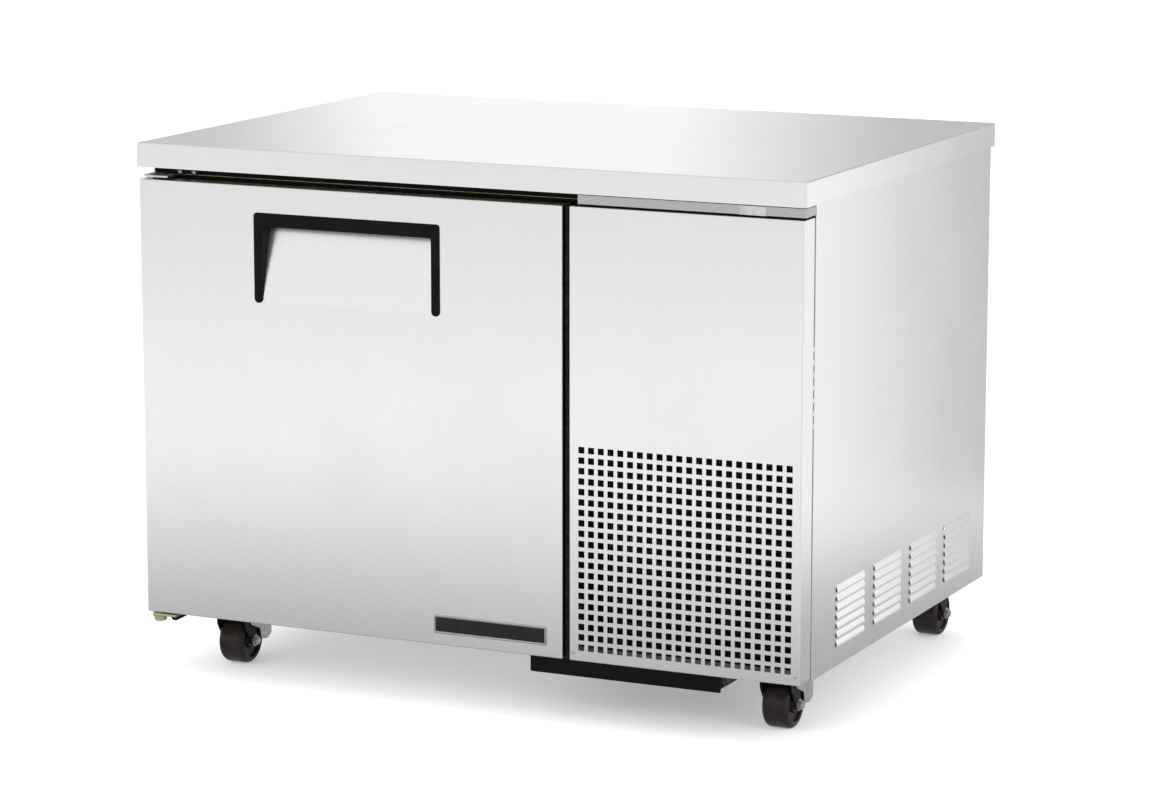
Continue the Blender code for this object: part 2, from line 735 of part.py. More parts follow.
def compressor_terminal_cover():
    x, y = COMPRESSOR
    low = (x - 0.035, y - 0.120, 0.165)
    box("compressor_terminal_cover", low, (x + 0.035, y - 0.0805, 0.235), BLACK_PLASTIC, bevel=0.004)


def condenser_coil():
    """The finned block behind the grille, with return bends at its ends."""
    low, high = (0.222, -0.345, 0.118), (0.522, -0.283, 0.440)
    block = box("condenser_coil", low, high, BLACK_PAINT)
    for side, x in (("left", low[0]), ("right", high[0])):
        for row in range(5):
            place = (x, -0.314, 0.155 + 0.062 * row)
            join(block, cylinder(f"bend_{side}_{row}", place, 0.016, 0.022, axis="X", sides=8))


def condenser_shroud():
    back = -0.226
    low = (0.214, -0.280, 0.114)
    shroud = folded_sheet("condenser_shroud", low, (0.530, back, 0.444), ("-Y",), GALVANISED)
    x, _, z = CONDENSER_FAN
    mouth_radius = CONDENSER_FAN_RADIUS + 0.008
    cut(shroud, cylinder("shroud_mouth_cutter", (x, back, z), mouth_radius, 0.05, axis="Y", sides=32))


def fan(name, centre, radius, hub_radius, width, look, blades, towards):
    """A hub with pitched blades that turns about Y."""
    hub = cylinder(name, centre, hub_radius, width, look, "Y", 16)
    chord = radius * 0.6
    root = hub_radius * 0.7
    for number in range(blades):
        bm, middle = cube((root, -0.0009, -chord / 2), (radius, 0.0009, chord / 2))
        for vert in bm.verts:
            if vert.co.x < 0:
                vert.co.z *= 0.45
        blade_name = f"{name}_blade_{number}"
        blade = link(blade_name, mesh_from(bm, blade_name))
        around = Matrix.Rotation(number * math.tau / blades, 4, "Y")
        pitch = Matrix.Rotation(towards * BLADE_PITCH, 4, "X")
        blade.matrix_world = Matrix.Translation(centre) @ around @ pitch @ Matrix.Translation(middle)
        join(hub, blade)
    return hub


def fan_motor(name, fan_centre, radius, length, behind, shaft_radius, hub_back):
    """A round motor behind its fan, with a shaft that stops just short of the hub."""
    x, y, z = fan_centre
    motor = cylinder(name, (x, y + behind + length / 2, z), radius, length, BLACK_PAINT, "Y", 20)
    front = y + hub_back + GAP
    shaft_middle = (x, (front + y + behind + 0.003) / 2, z)
    shaft_length = y + behind + 0.003 - front
    shaft = cylinder(name + "_shaft", shaft_middle, shaft_radius, shaft_length, axis="Y", sides=10)
    return join(motor, shaft)


def condenser_fan_motor():
    """The motor with the strap that crosses behind the shroud, on two stands."""
    x, y, z = CONDENSER_FAN
    motor = fan_motor("condenser_fan_motor", CONDENSER_FAN, 0.040, 0.056, 0.027, 0.004, 0.012)
    front, back = y + 0.028, y + 0.0305
    strap = box("condenser_motor_strap", (0.205, front, z - 0.012), (0.538, back, z + 0.012))
    join(motor, strap)
    for side, left in (("left", 0.205), ("right", 0.518)):
        join(motor, box(f"motor_stand_{side}", (left, front, DECK_TOP), (left + 0.020, back, z + 0.005)))


def suction_line():
    x, y = COMPRESSOR
    route = [(x + 0.055, y, 0.292), (x + 0.090, y + 0.020, 0.330), (x + 0.080, y + 0.060, 0.480)]
    route += [(x + 0.020, y + 0.120, 0.640), (x - 0.100, y + 0.140, 0.670), (x - 0.170, y + 0.140, 0.672)]
    tube("suction_line", route, 0.0055, COPPER)


def liquid_line_drier():
    """The filter drier between the condenser and the cabinet's capillary."""
    profile = [(0.0, 0.090), (0.0035, 0.090), (0.0035, 0.070), (0.0118, 0.056), (0.0118, -0.056)]
    profile += [(0.0035, -0.070), (0.0035, -0.090), (0.0, -0.090)]
    turned("liquid_line_drier", profile, (0.505, -0.150, 0.560), COPPER, steps=16)


def control_box():
    """The electrical box high in the machine compartment."""
    box("control_box", (0.230, -0.340, 0.600), (0.420, -0.250, 0.740), GALVANISED, bevel=0.002)


# ---------------------------------------------------------------- cold compartment
def evaporator_cover():
    """The housing across the back of the ceiling: it leaves its back and top open to the liner."""
    low = (CAVITY_LEFT + 0.030, EVAPORATOR_FRONT_Y, EVAPORATOR_BOTTOM)
    high = (CAVITY_RIGHT - 0.030, CAVITY_BACK - 0.0006, CAVITY_TOP - 0.0006)
    cover = folded_sheet("evaporator_cover", low, high, ("+Y", "+Z"), ALUMINIUM, thickness=0.0015)
    x, _, z = EVAPORATOR_FAN
    mouth_middle = (x, EVAPORATOR_FRONT_Y, z)
    mouth_radius = EVAPORATOR_FAN_RADIUS + 0.006
    mouth = cylinder("evaporator_mouth", mouth_middle, mouth_radius, 0.03, axis="Y", sides=28)
    stem = cylinder("knob_stem_cutter", KNOB, 0.005, 0.03, axis="Y", sides=12)
    bottom = EVAPORATOR_BOTTOM
    slots = box("return_slot_cutter", (-0.430, 0.215, bottom - 0.01), (-0.415, 0.320, bottom + 0.01))
    repeat(slots, 14, (0.035, 0, 0))
    cut(cover, mouth, stem, slots)


def evaporator_coil():
    low = (CAVITY_LEFT + 0.050, 0.250, 0.625)
    box("evaporator_coil", low, (CAVITY_RIGHT - 0.060, 0.325, 0.735), ALUMINIUM)


def evaporator_fan_motor():
    x, y, z = EVAPORATOR_FAN
    motor = fan_motor("evaporator_fan_motor", EVAPORATOR_FAN, 0.022, 0.034, 0.009, 0.003, 0.0048)
    low, high = (x - 0.075, y + 0.014, z - 0.006), (x + 0.075, y + 0.016, z + 0.006)
    join(motor, box("evaporator_motor_strap", low, high))


def thermostat_knob():
    x, y, z = KNOB
    knob = cylinder("thermostat_knob", (x, y - 0.0095, z), 0.019, 0.017, BLACK_PLASTIC, "Y", 24)
    grip = box("knob_grip", (x - 0.0035, y - 0.026, z - 0.016), (x + 0.0035, y - 0.010, z + 0.016))
    return join(knob, grip, cylinder("knob_stem", (x, y + 0.004, z), 0.0042, 0.018, axis="Y", sides=12))


def shelf_pilaster(name, x_wall, towards, y):
    """A slotted upright on the liner's side wall, which the shelves hook into."""
    half = 0.008
    inner = x_wall + towards * PILASTER
    outer = x_wall + towards * 0.0006
    bottom, top = CAVITY_BOTTOM + 0.020, 0.590
    low = (min(outer, inner), y - half, bottom)
    upright = box(name, low, (max(outer, inner), y + half, top), ALUMINIUM)
    slots = box(
        name + "_slots",
        (inner - 0.0025, y - 0.004, bottom + 0.0150),
        (inner + 0.0025, y + 0.004, bottom + 0.0185),
    )
    repeat(slots, 16, (0, 0, 0.0254))
    cut(upright, slots)


def shelf(name, height):
    """A coated wire shelf: long wires from front to back in a frame, with a hook at each pilaster."""
    wire = 0.005
    grid = box(name, (SHELF_LEFT, SHELF_FRONT, height), (SHELF_RIGHT, SHELF_BACK, height + wire), COATED_WIRE)
    columns, rows = 16, 3
    pitch_x = (SHELF_RIGHT - SHELF_LEFT - wire) / columns
    pitch_y = (SHELF_BACK - SHELF_FRONT - wire) / rows
    cells = box(
        name + "_cells",
        (SHELF_LEFT + wire, SHELF_FRONT + wire, height - 0.01),
        (SHELF_LEFT + pitch_x, SHELF_FRONT + pitch_y, height + 0.02),
    )
    repeat(cells, columns, (pitch_x, 0, 0))
    repeat(cells, rows, (0, pitch_y, 0))
    cut(grid, cells)
    reach = PILASTER + 0.0005
    spans = ((CAVITY_LEFT + reach, SHELF_LEFT + 0.002), (SHELF_RIGHT - 0.002, CAVITY_RIGHT - reach))
    for side, (low_x, high_x) in zip(("left", "right"), spans):
        for end, y in zip(("front", "rear"), PILASTER_Y):
            low = (low_x, y - 0.005, height + 0.0005)
            join(grid, box(f"{name}_hook_{side}_{end}", low, (high_x, y + 0.005, height + 0.0045)))


# ---------------------------------------------------------------- condensate pan
def pan_hanger():
    """The channel under the cabinet that carries the condensate pan on two inward lips."""
    low = (PAN_LEFT + 0.001, PAN_FRONT + 0.006, PAN_BOTTOM + 0.005)
    high = (PAN_RIGHT - 0.001, PAN_BACK, CASTOR_HEIGHT - GAP)
    hanger = folded_sheet("pan_hanger", low, high, ("-Y", "-Z"), BLACK_PAINT, thickness=0.002)
    for side, x in (("left", PAN_LEFT + 0.002), ("right", PAN_RIGHT - 0.010)):
        lip_high = (x + 0.008, PAN_BACK - 0.001, PAN_RAIL)
        join(hanger, box(f"hanger_lip_{side}", (x, PAN_FRONT + 0.008, PAN_RAIL - 0.0015), lip_high))


def condensate_pan():
    """A drawer-like tray that collects the defrost water, with its front plate and two wings."""
    left, right = PAN_LEFT + 0.012, PAN_RIGHT - 0.012
    front = PAN_FRONT + 0.001
    back = PAN_BACK - 0.010
    low, high = (left, front, PAN_BOTTOM + 0.002), (right, back, 0.0935)
    pan = folded_sheet("condensate_pan", low, high, ("+Z",), BLACK_PAINT, thickness=0.0016)
    wing_low, wing_high = PAN_RAIL + 0.001, PAN_RAIL + 0.003
    spans = ((PAN_LEFT + 0.005, left + 0.001), (right - 0.001, PAN_RIGHT - 0.005))
    for side, (low_x, high_x) in zip(("left", "right"), spans):
        join(pan, box(f"pan_wing_{side}", (low_x, front, wing_low), (high_x, back - 0.002, wing_high)))
    plate_high = (PAN_RIGHT, PAN_FRONT + 0.0022, CASTOR_HEIGHT - 0.0025)
    return join(pan, box("pan_front", (PAN_LEFT, PAN_FRONT, PAN_BOTTOM), plate_high))


# ---------------------------------------------------------------- castors
def castor_plate(name, x, y):
    """The top plate with its swivel race, kingpin and nut."""
    half_x, half_y = CASTOR_PLATE_HALF
    top = CASTOR_HEIGHT - GAP
    low = (x - half_x, y - half_y, CASTOR_HEIGHT - 0.0035)
    base = box(name, low, (x + half_x, y + half_y, top), ZINC)
    profile = [(0.0, 0.098), (0.0245, 0.098), (0.0255, 0.0935), (0.0225, 0.0895), (0.0055, 0.0895)]
    profile += [(0.0055, 0.0850), (0.0095, 0.0850), (0.0095, 0.0800), (0.0, 0.0800)]
    join(base, turned(name + "_race", profile, (x, y, 0.0), steps=20))


def castor_fork(name, x, y, braked):
    """An inverted U with a kingpin hole in its top and the wheel's axle bolt through its legs."""
    wheel_y = y + CASTOR_TRAIL
    inner = WHEEL_WIDTH / 2 + 0.0020
    outer = inner + 0.0025
    low, high = (x - outer, y - 0.025, 0.0860), (x + outer, y + 0.025, 0.0890)
    fork = box(name, low, high, BLACK_PAINT, bevel=0.001)
    leg = [(y - 0.0245, 0.0875), (y - 0.0245, 0.076), (wheel_y - 0.011, 0.036), (wheel_y - 0.009, 0.030)]
    leg += [(wheel_y + 0.009, 0.030), (wheel_y + 0.011, 0.036), (y + 0.0245, 0.076), (y + 0.0245, 0.0875)]
    join(fork, plate(name + "_leg_left", leg, x - outer + 0.0003, x - inner, "X"))
    join(fork, plate(name + "_leg_right", leg, x + inner, x + outer - 0.0003, "X"))
    hub = (x, wheel_y, AXLE_Z)
    axle_middle = (x + 0.0018, wheel_y, AXLE_Z)
    axle = cylinder(name + "_axle", axle_middle, 0.0048, 2 * outer + 0.0086, axis="X", sides=12)
    nut = cylinder(name + "_nut", (x + outer + 0.0020, *hub[1:]), 0.0078, 0.0055, axis="X", sides=6)
    head = cylinder(name + "_head", (x - outer - 0.0015, *hub[1:]), 0.0078, 0.0040, axis="X", sides=6)
    join(fork, axle, nut, head)
    if braked:
        for side, pin_x in (("left", x - outer - 0.0015), ("right", x + outer + 0.0015)):
            place = (pin_x, y + BRAKE_PIN_Y, BRAKE_PIN_Z)
            join(fork, cylinder(f"{name}_pin_{side}", place, 0.0028, 0.0055, axis="X", sides=10))
    cut(fork, cylinder(name + "_kingpin_bore", (x, y, 0.0880), 0.0065, 0.020, sides=12))
    return fork


def wheel(name, x, y):
    """A hard rubber wheel with a crowned tread, dished sides and a bored hub, flat side down."""
    half = WHEEL_WIDTH / 2
    upper = [(0.0056, half), (0.0125, half), (0.0140, half - 0.0045), (0.0270, half - 0.0045)]
    upper += [(0.0295, half - 0.0005), (0.0345, half - 0.0020), (WHEEL_RADIUS, half - 0.0095)]
    profile = upper + [(radius, -height) for radius, height in reversed(upper)]
    centre = (x, y + CASTOR_TRAIL, AXLE_Z)
    half_step = math.pi / WHEEL_SIDES
    return turned(name, profile, centre, WHEEL_RUBBER, "X", WHEEL_SIDES, start=half_step, ring=True)


def brake_lever(name, x, y):
    """The pedal behind the wheel, on two arms that turn on pins outside the fork's legs."""
    pin_y = y + BRAKE_PIN_Y
    inner = WHEEL_WIDTH / 2 + 0.0052
    outer = inner + 0.0018
    back = y + CASTOR_TRAIL + 0.050
    corners = [(pin_y - 0.007, BRAKE_PIN_Z - 0.006), (pin_y - 0.007, BRAKE_PIN_Z + 0.006)]
    corners += [(pin_y + 0.007, BRAKE_PIN_Z + 0.006), (back, 0.0650), (back, 0.0430), (back - 0.009, 0.0480)]
    arm = rounded(corners, [0.005, 0.005, 0.005, 0.002, 0.002, 0.002], 2)
    lever = plate(name, arm, x - outer, x - inner, "X", ZINC)
    join(lever, plate(name + "_right_arm", arm, x + inner, x + outer, "X"))
    pad = [(back - 0.002, 0.0440), (back - 0.002, 0.0635), (back + 0.006, 0.0662), (back + 0.0062, 0.0644)]
    pad += [(back, 0.0620), (back, 0.0440)]
    join(lever, plate(name + "_pad", pad, x - outer + 0.0002, x + outer - 0.0002, "X"))
    return cut(lever, cylinder(name + "_bore", (x, pin_y, BRAKE_PIN_Z), 0.0033, 0.080, axis="X", sides=12))


# ---------------------------------------------------------------- assembly
def build_cabinet():
    worktop()
    insulated_body()
    inner_liner()
    door_frame()
    left_side_panel()
    right_side_panel()
    rear_panel()
    bottom_panel()
    top_front_rail()
    grille_top_channel()
    mullion_trim()
    supply_inlet()
    grille_panel()
    hinge_bracket_top()
    hinge_bracket_bottom()


def build_machine():
    machine_deck()
    compressor()
    compressor_terminal_cover()
    condenser_coil()
    condenser_shroud()
    condenser_fan_motor()
    suction_line()
    liquid_line_drier()
    control_box()
    blades = fan("condenser_fan", CONDENSER_FAN, CONDENSER_FAN_RADIUS, 0.026, 0.024, ALUMINIUM, 5, 1)
    under(pivot("condenser_fan_axis", CONDENSER_FAN), blades)


def build_cold_compartment():
    evaporator_cover()
    evaporator_coil()
    evaporator_fan_motor()
    blades = fan("evaporator_fan", EVAPORATOR_FAN, EVAPORATOR_FAN_RADIUS, 0.014, 0.0096, BLACK_PLASTIC, 4, -1)
    under(pivot("evaporator_fan_axis", EVAPORATOR_FAN), blades)
    under(pivot("knob_axis", KNOB), thermostat_knob())
    for side, x_wall, towards in (("left", CAVITY_LEFT, 1), ("right", CAVITY_RIGHT, -1)):
        for end, y in zip(("front", "rear"), PILASTER_Y):
            shelf_pilaster(f"pilaster_{side}_{end}", x_wall, towards, y)
    for name, height in zip(("shelf_lower", "shelf_upper"), SHELF_HEIGHTS):
        shelf(name, height)


def build_door():
    hinge = pivot("door_hinge_axis", (HINGE_X, HINGE_Y, DOOR_BOTTOM))
    under(hinge, door_skin(), door_foam_core(), door_inner_liner(), door_gasket())
    under(hinge, handle_bezel(), handle_scoop(), door_badge(), hinge_cartridge())


def build_castors():
    for end, y in (("front", CASTOR_FRONT_Y), ("rear", CASTOR_REAR_Y)):
        for side, x in (("left", CASTOR_LEFT_X), ("right", CASTOR_RIGHT_X)):
            place = f"{end}_{side}"
            castor_plate(f"castor_plate_{place}", x, y)
            swivel = pivot(f"swivel_axis_{place}", (x, y, 0))
            fork = castor_fork(f"fork_{place}", x, y, end == "front")
            axle = pivot(f"axle_{place}", (x, y + CASTOR_TRAIL, AXLE_Z))
            under(swivel, fork, axle)
            bpy.context.view_layer.update()
            under(axle, wheel(f"wheel_{place}", x, y))
            if end == "front":
                under(swivel, brake_lever(f"brake_lever_{side}", x, y))


def build_pan():
    pan_hanger()
    under(pivot("pan_slide", (0, PAN_FRONT, PAN_BOTTOM)), condensate_pan())


build_cabinet()
build_machine()
build_cold_compartment()
build_door()
build_castors()
build_pan()
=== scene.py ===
"""Looks of the undercounter refrigerator: materials, fine pieces, studio and camera.

Lengths are in metres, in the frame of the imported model: the origin is on the floor under the
middle of the cabinet, +X is to the right, +Y to the back and +Z up.
"""

import math

import bmesh
import bpy
from mathutils import Matrix, Vector


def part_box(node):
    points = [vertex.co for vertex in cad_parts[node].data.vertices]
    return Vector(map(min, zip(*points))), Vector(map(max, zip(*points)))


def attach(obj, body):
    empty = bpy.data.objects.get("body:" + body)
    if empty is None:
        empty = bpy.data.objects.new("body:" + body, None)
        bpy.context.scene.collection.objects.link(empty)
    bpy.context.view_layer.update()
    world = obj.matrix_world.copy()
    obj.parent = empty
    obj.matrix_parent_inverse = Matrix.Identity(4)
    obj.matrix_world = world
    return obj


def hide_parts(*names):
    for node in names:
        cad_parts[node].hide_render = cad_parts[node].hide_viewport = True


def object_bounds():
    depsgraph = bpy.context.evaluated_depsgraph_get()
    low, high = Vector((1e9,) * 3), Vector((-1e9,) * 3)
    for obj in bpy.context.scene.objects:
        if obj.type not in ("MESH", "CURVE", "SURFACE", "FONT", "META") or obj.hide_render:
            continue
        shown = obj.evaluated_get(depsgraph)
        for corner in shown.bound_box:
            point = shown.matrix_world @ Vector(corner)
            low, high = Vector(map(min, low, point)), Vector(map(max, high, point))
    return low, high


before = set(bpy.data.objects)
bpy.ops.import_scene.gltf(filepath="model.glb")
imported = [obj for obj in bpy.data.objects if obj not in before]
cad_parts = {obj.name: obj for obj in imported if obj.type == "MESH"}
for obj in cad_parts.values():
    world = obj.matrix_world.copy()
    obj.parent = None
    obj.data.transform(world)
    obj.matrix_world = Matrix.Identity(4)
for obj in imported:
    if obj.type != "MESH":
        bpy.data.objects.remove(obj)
cad_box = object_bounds()

QUARTER = math.pi / 2
AXES = "XYZ"
CASTORS = ("front_left", "front_right", "rear_left", "rear_right")
ENDS = ("front", "rear")
SIDES = ("left", "right")


# ---------------------------------------------------------------- camera and studio
CAMERA_PLACE = (2.697, -5.739, 1.608)
CAMERA_AZIMUTH = math.radians(25.15)
CAMERA_ELEVATION = math.radians(10.66)
CAMERA_LENS = 124.6
FLOOR_HALF = 30.0
WORLD_STRENGTH = 1.0
ROOM_RADIUS = 14.0
FLOOR_EMISSION = 0.28
# brightness of what the steel reflects: by distance from the cabinet, and along the hidden cards
FLOOR_GLOW = (
    (0.0, 0.44), (0.5, 0.58), (1.0, 0.86), (1.65, 1.34), (2.4, 1.40),
    (3.6, 1.02), (6.0, 0.86), (ROOM_RADIUS, 0.86),
)
ROOM_GLOW = ((-ROOM_RADIUS, 0.92), (-2.0, 0.92), (4.0, 0.66), (ROOM_RADIUS, 0.62))
SIDE_GLOW = ((-2.0, 0.84), (0.15, 0.98), (0.7, 1.42), (1.45, 0.62), (2.4, 0.50))
BACK_GLOW = ((-3.0, 0.60), (-1.55, 0.66), (-1.15, 1.12), (-0.50, 1.14), (0.0, 0.60), (2.0, 0.56))
CARD_LIFT = 0.0006
SIDE_CARD_GAP = 0.50
SIDE_CARD_TOP = 1.0
BACK_CARD_Y = 1.5
BACK_CARD_TOP = 2.4


def camera():
    data = bpy.data.cameras.new("camera")
    data.lens = CAMERA_LENS
    made = placed("camera", data)
    level = math.cos(CAMERA_ELEVATION)
    back = Vector(
        (math.sin(CAMERA_AZIMUTH) * level, -math.cos(CAMERA_AZIMUTH) * level, math.sin(CAMERA_ELEVATION))
    )
    made.location = CAMERA_PLACE
    made.rotation_euler = (-back).to_track_quat("-Z", "Y").to_euler()
    bpy.context.scene.camera = made


def world_light():
    world = bpy.data.worlds.new("studio")
    world.use_nodes = True
    background = world.node_tree.nodes["Background"]
    background.inputs["Color"].default_value = (1.0, 1.0, 1.0, 1.0)
    background.inputs["Strength"].default_value = WORLD_STRENGTH
    bpy.context.scene.world = world


def softbox(name, place, target, width, height, power):
    data = bpy.data.lights.new(name, "AREA")
    data.shape = "RECTANGLE"
    data.size = width
    data.size_y = height
    data.energy = power
    made = placed(name, data)
    made.location = place
    made.rotation_euler = (Vector(target) - Vector(place)).to_track_quat("-Z", "Y").to_euler()
    made.visible_glossy = False


def glow(name, axis, stops):
    """Light that changes along one axis, or away from the Z axis, as (distance, brightness) stops."""
    surface = Surface(name)
    split = surface.node("ShaderNodeSeparateXYZ")
    surface.feed(split.inputs[0], surface.place)
    along = split.outputs[axis]
    brightness = stops[0][1]
    for (near, before), (far, after) in zip(stops, stops[1:]):
        step = surface.span(along, 0.0, after - before, near, far)
        brightness = surface.math("ADD", brightness, step)
    return surface.shine(brightness)


def reflected_card(made, light):
    """A studio card that only shows in the gloss of the object, as a hidden reflector does."""
    made.data.materials.append(light)
    for rays in ("camera", "diffuse", "transmission", "volume_scatter", "shadow"):
        setattr(made, "visible_" + rays, False)


def reflected_floor():
    """The floor as the steel sees it: dim beside the cabinet, brightest two metres out."""
    bm = bmesh.new()
    shade = bm.verts.layers.float.new("brightness")
    outlines = []
    for distance, brightness in FLOOR_GLOW:
        x, y = cad_box[1].x + distance, cad_box[1].y + distance
        outline = rounded_rectangle((-x, x, -y, y), max(distance, 0.01))
        outlines.append([bm.verts.new((*place, CARD_LIFT)) for place in outline])
        for vert in outlines[-1]:
            vert[shade] = brightness
    bm.faces.new(outlines[0])
    join_loops(bm, zip(outlines, outlines[1:]))
    surface = Surface("floor_glow")
    reader = surface.node("ShaderNodeAttribute", attribute_name="brightness")
    reflected_card(new_object("reflected_floor", bm), surface.shine(reader.outputs["Fac"]))


def upright_card(name, start, end, top, light):
    bm = bmesh.new()
    corners = [(*start, 0.0), (*end, 0.0), (*end, top), (*start, top)]
    bm.faces.new([bm.verts.new(corner) for corner in corners])
    reflected_card(new_object(name, bm), light)


def reflected_room():
    """The walls and ceiling as the steel sees them: a dome that is dimmer behind the cabinet."""
    bm = bmesh.new()
    bmesh.ops.create_uvsphere(bm, u_segments=48, v_segments=24, radius=ROOM_RADIUS)
    bmesh.ops.delete(bm, geom=[vert for vert in bm.verts if vert.co.z < -0.5], context="VERTS")
    reflected_card(new_object("reflected_room", bm), glow("room_glow", "Y", ROOM_GLOW))


def studio():
    bpy.context.scene.view_settings.view_transform = "Standard"
    camera()
    world_light()
    softbox("key_light", (-2.6, -4.6, 2.6), (0.0, 0.0, 0.2), 3.0, 2.4, 90.0)
    softbox("side_light", (4.2, -1.6, 2.4), (0.5, 0.0, 0.2), 2.4, 2.0, 50.0)
    bm = bmesh.new()
    bmesh.ops.create_grid(bm, x_segments=1, y_segments=1, size=FLOOR_HALF)
    floor = new_object("floor", bm)
    floor.data.materials.append(floor_paint())
    reflected_floor()
    reflected_room()
    x = cad_box[1].x + SIDE_CARD_GAP
    side = ((x, SIDE_GLOW[0][0]), (x, SIDE_GLOW[-1][0]))
    upright_card("reflected_side_wall", *side, SIDE_CARD_TOP, glow("side_glow", "Y", SIDE_GLOW))
    back = ((BACK_GLOW[0][0], BACK_CARD_Y), (BACK_GLOW[-1][0], BACK_CARD_Y))
    upright_card("reflected_back_wall", *back, BACK_CARD_TOP, glow("back_glow", "X", BACK_GLOW))


# ---------------------------------------------------------------- material nodes
class Surface:
    """The nodes of one material. Its patterns lie in the piece's own coordinates, in metres."""

    def __init__(self, name, metallic=0.0, specular=0.5, coat=0.0):
        self.material = bpy.data.materials.new(name)
        self.material.use_nodes = True
        self.tree = self.material.node_tree
        self.shader = self.tree.nodes["Principled BSDF"]
        self.shader.inputs["Metallic"].default_value = metallic
        self.shader.inputs["Specular IOR Level"].default_value = specular
        self.shader.inputs["Coat Weight"].default_value = coat
        coordinates = self.tree.nodes.new("ShaderNodeTexCoord")
        self.place = coordinates.outputs["Object"]
        self.facing = coordinates.outputs["Normal"]
        self.normal = None

    def node(self, kind, **settings):
        made = self.tree.nodes.new(kind)
        for key, value in settings.items():
            setattr(made, key, value)
        return made

    def feed(self, socket, value):
        if isinstance(value, bpy.types.NodeSocket):
            self.tree.links.new(value, socket)
        else:
            socket.default_value = value

    def math(self, operation, *values):
        made = self.node("ShaderNodeMath", operation=operation)
        for socket, value in zip(made.inputs, values):
            self.feed(socket, value)
        return made.outputs[0]

    def scaled(self, sizes):
        """The place, counted in features of these sizes along X, Y and Z."""
        mapping = self.node("ShaderNodeMapping")
        self.feed(mapping.inputs["Vector"], self.place)
        mapping.inputs["Scale"].default_value = [1.0 / size for size in sizes]
        return mapping.outputs["Vector"]

    def noise_at(self, place, detail):
        texture = self.node("ShaderNodeTexNoise")
        self.feed(texture.inputs["Vector"], place)
        texture.inputs["Scale"].default_value = 1.0
        texture.inputs["Detail"].default_value = detail
        return texture.outputs[0]

    def noise(self, size, detail=3.0):
        return self.noise_at(self.scaled((size, size, size)), detail)

    def cells(self, size, output="Distance", feature="F1"):
        texture = self.node("ShaderNodeTexVoronoi", feature=feature)
        self.feed(texture.inputs["Vector"], self.scaled((size, size, size)))
        texture.inputs["Scale"].default_value = 1.0
        return texture.outputs[output]

    def lines(self, along, on_ends, length, width):
        """Brushed lines along an axis, and along a second one on the faces that meet the first end on."""
        ways = [[length if letter == axis else width for letter in AXES] for axis in (along, on_ends)]
        split = self.node("ShaderNodeSeparateXYZ")
        self.feed(split.inputs[0], self.facing)
        end_on = self.math("GREATER_THAN", self.math("ABSOLUTE", split.outputs[along]), 0.7)
        choice = self.node("ShaderNodeMix", data_type="VECTOR")
        self.feed(choice.inputs[0], end_on)
        self.feed(choice.inputs[4], self.scaled(ways[0]))
        self.feed(choice.inputs[5], self.scaled(ways[1]))
        return self.noise_at(choice.outputs[1], 2.0)

    def span(self, value, low, high, start=0.3, end=0.7):
        """The value from start to end, as low to high."""
        made = self.node("ShaderNodeMapRange")
        self.feed(made.inputs["Value"], value)
        for name, number in (("From Min", start), ("From Max", end), ("To Min", low), ("To Max", high)):
            made.inputs[name].default_value = number
        return made.outputs["Result"]

    def mix(self, factor, first, second):
        made = self.node("ShaderNodeMix", data_type="RGBA")
        self.feed(made.inputs[0], factor)
        for socket, colour in ((made.inputs[6], first), (made.inputs[7], second)):
            self.feed(socket, colour if isinstance(colour, bpy.types.NodeSocket) else (*colour, 1.0))
        return made.outputs[2]

    def colour(self, value):
        self.feed(self.shader.inputs["Base Color"], value)

    def rough(self, value):
        self.feed(self.shader.inputs["Roughness"], value)

    def bump(self, height, depth, strength=1.0):
        made = self.node("ShaderNodeBump")
        made.inputs["Distance"].default_value = depth
        made.inputs["Strength"].default_value = strength
        self.feed(made.inputs["Height"], height)
        if self.normal:
            self.feed(made.inputs["Normal"], self.normal)
        self.normal = made.outputs["Normal"]
        self.feed(self.shader.inputs["Normal"], self.normal)

    def shine(self, strength):
        """Makes the material a plain light, and gives the finished material."""
        light = self.node("ShaderNodeEmission")
        self.feed(light.inputs["Strength"], strength)
        self.feed(self.tree.nodes["Material Output"].inputs["Surface"], light.outputs[0])
        return self.material

    def worn_edges(self, low=0.53, high=0.60):
        """Near 1 on the outer edges, broken up by noise."""
        sharpness = self.span(self.node("ShaderNodeNewGeometry").outputs["Pointiness"], 0.0, 1.0, low, high)
        return self.math("MULTIPLY", sharpness, self.span(self.noise(0.006), 0.0, 1.0, 0.4, 0.65))


def tones(colour, spread):
    darker = [channel * (1 - spread) for channel in colour]
    lighter = [min(1.0, channel * (1 + spread)) for channel in colour]
    return darker, lighter


# ---------------------------------------------------------------- materials
def floor_paint():
    surface = Surface("floor_paint", specular=0.2)
    surface.rough(0.6)
    surface.colour(surface.mix(surface.noise(0.9), (0.93, 0.93, 0.93), (0.95, 0.95, 0.95)))
    surface.shader.inputs["Emission Color"].default_value = (1.0, 1.0, 1.0, 1.0)
    surface.shader.inputs["Emission Strength"].default_value = FLOOR_EMISSION
    return surface.material


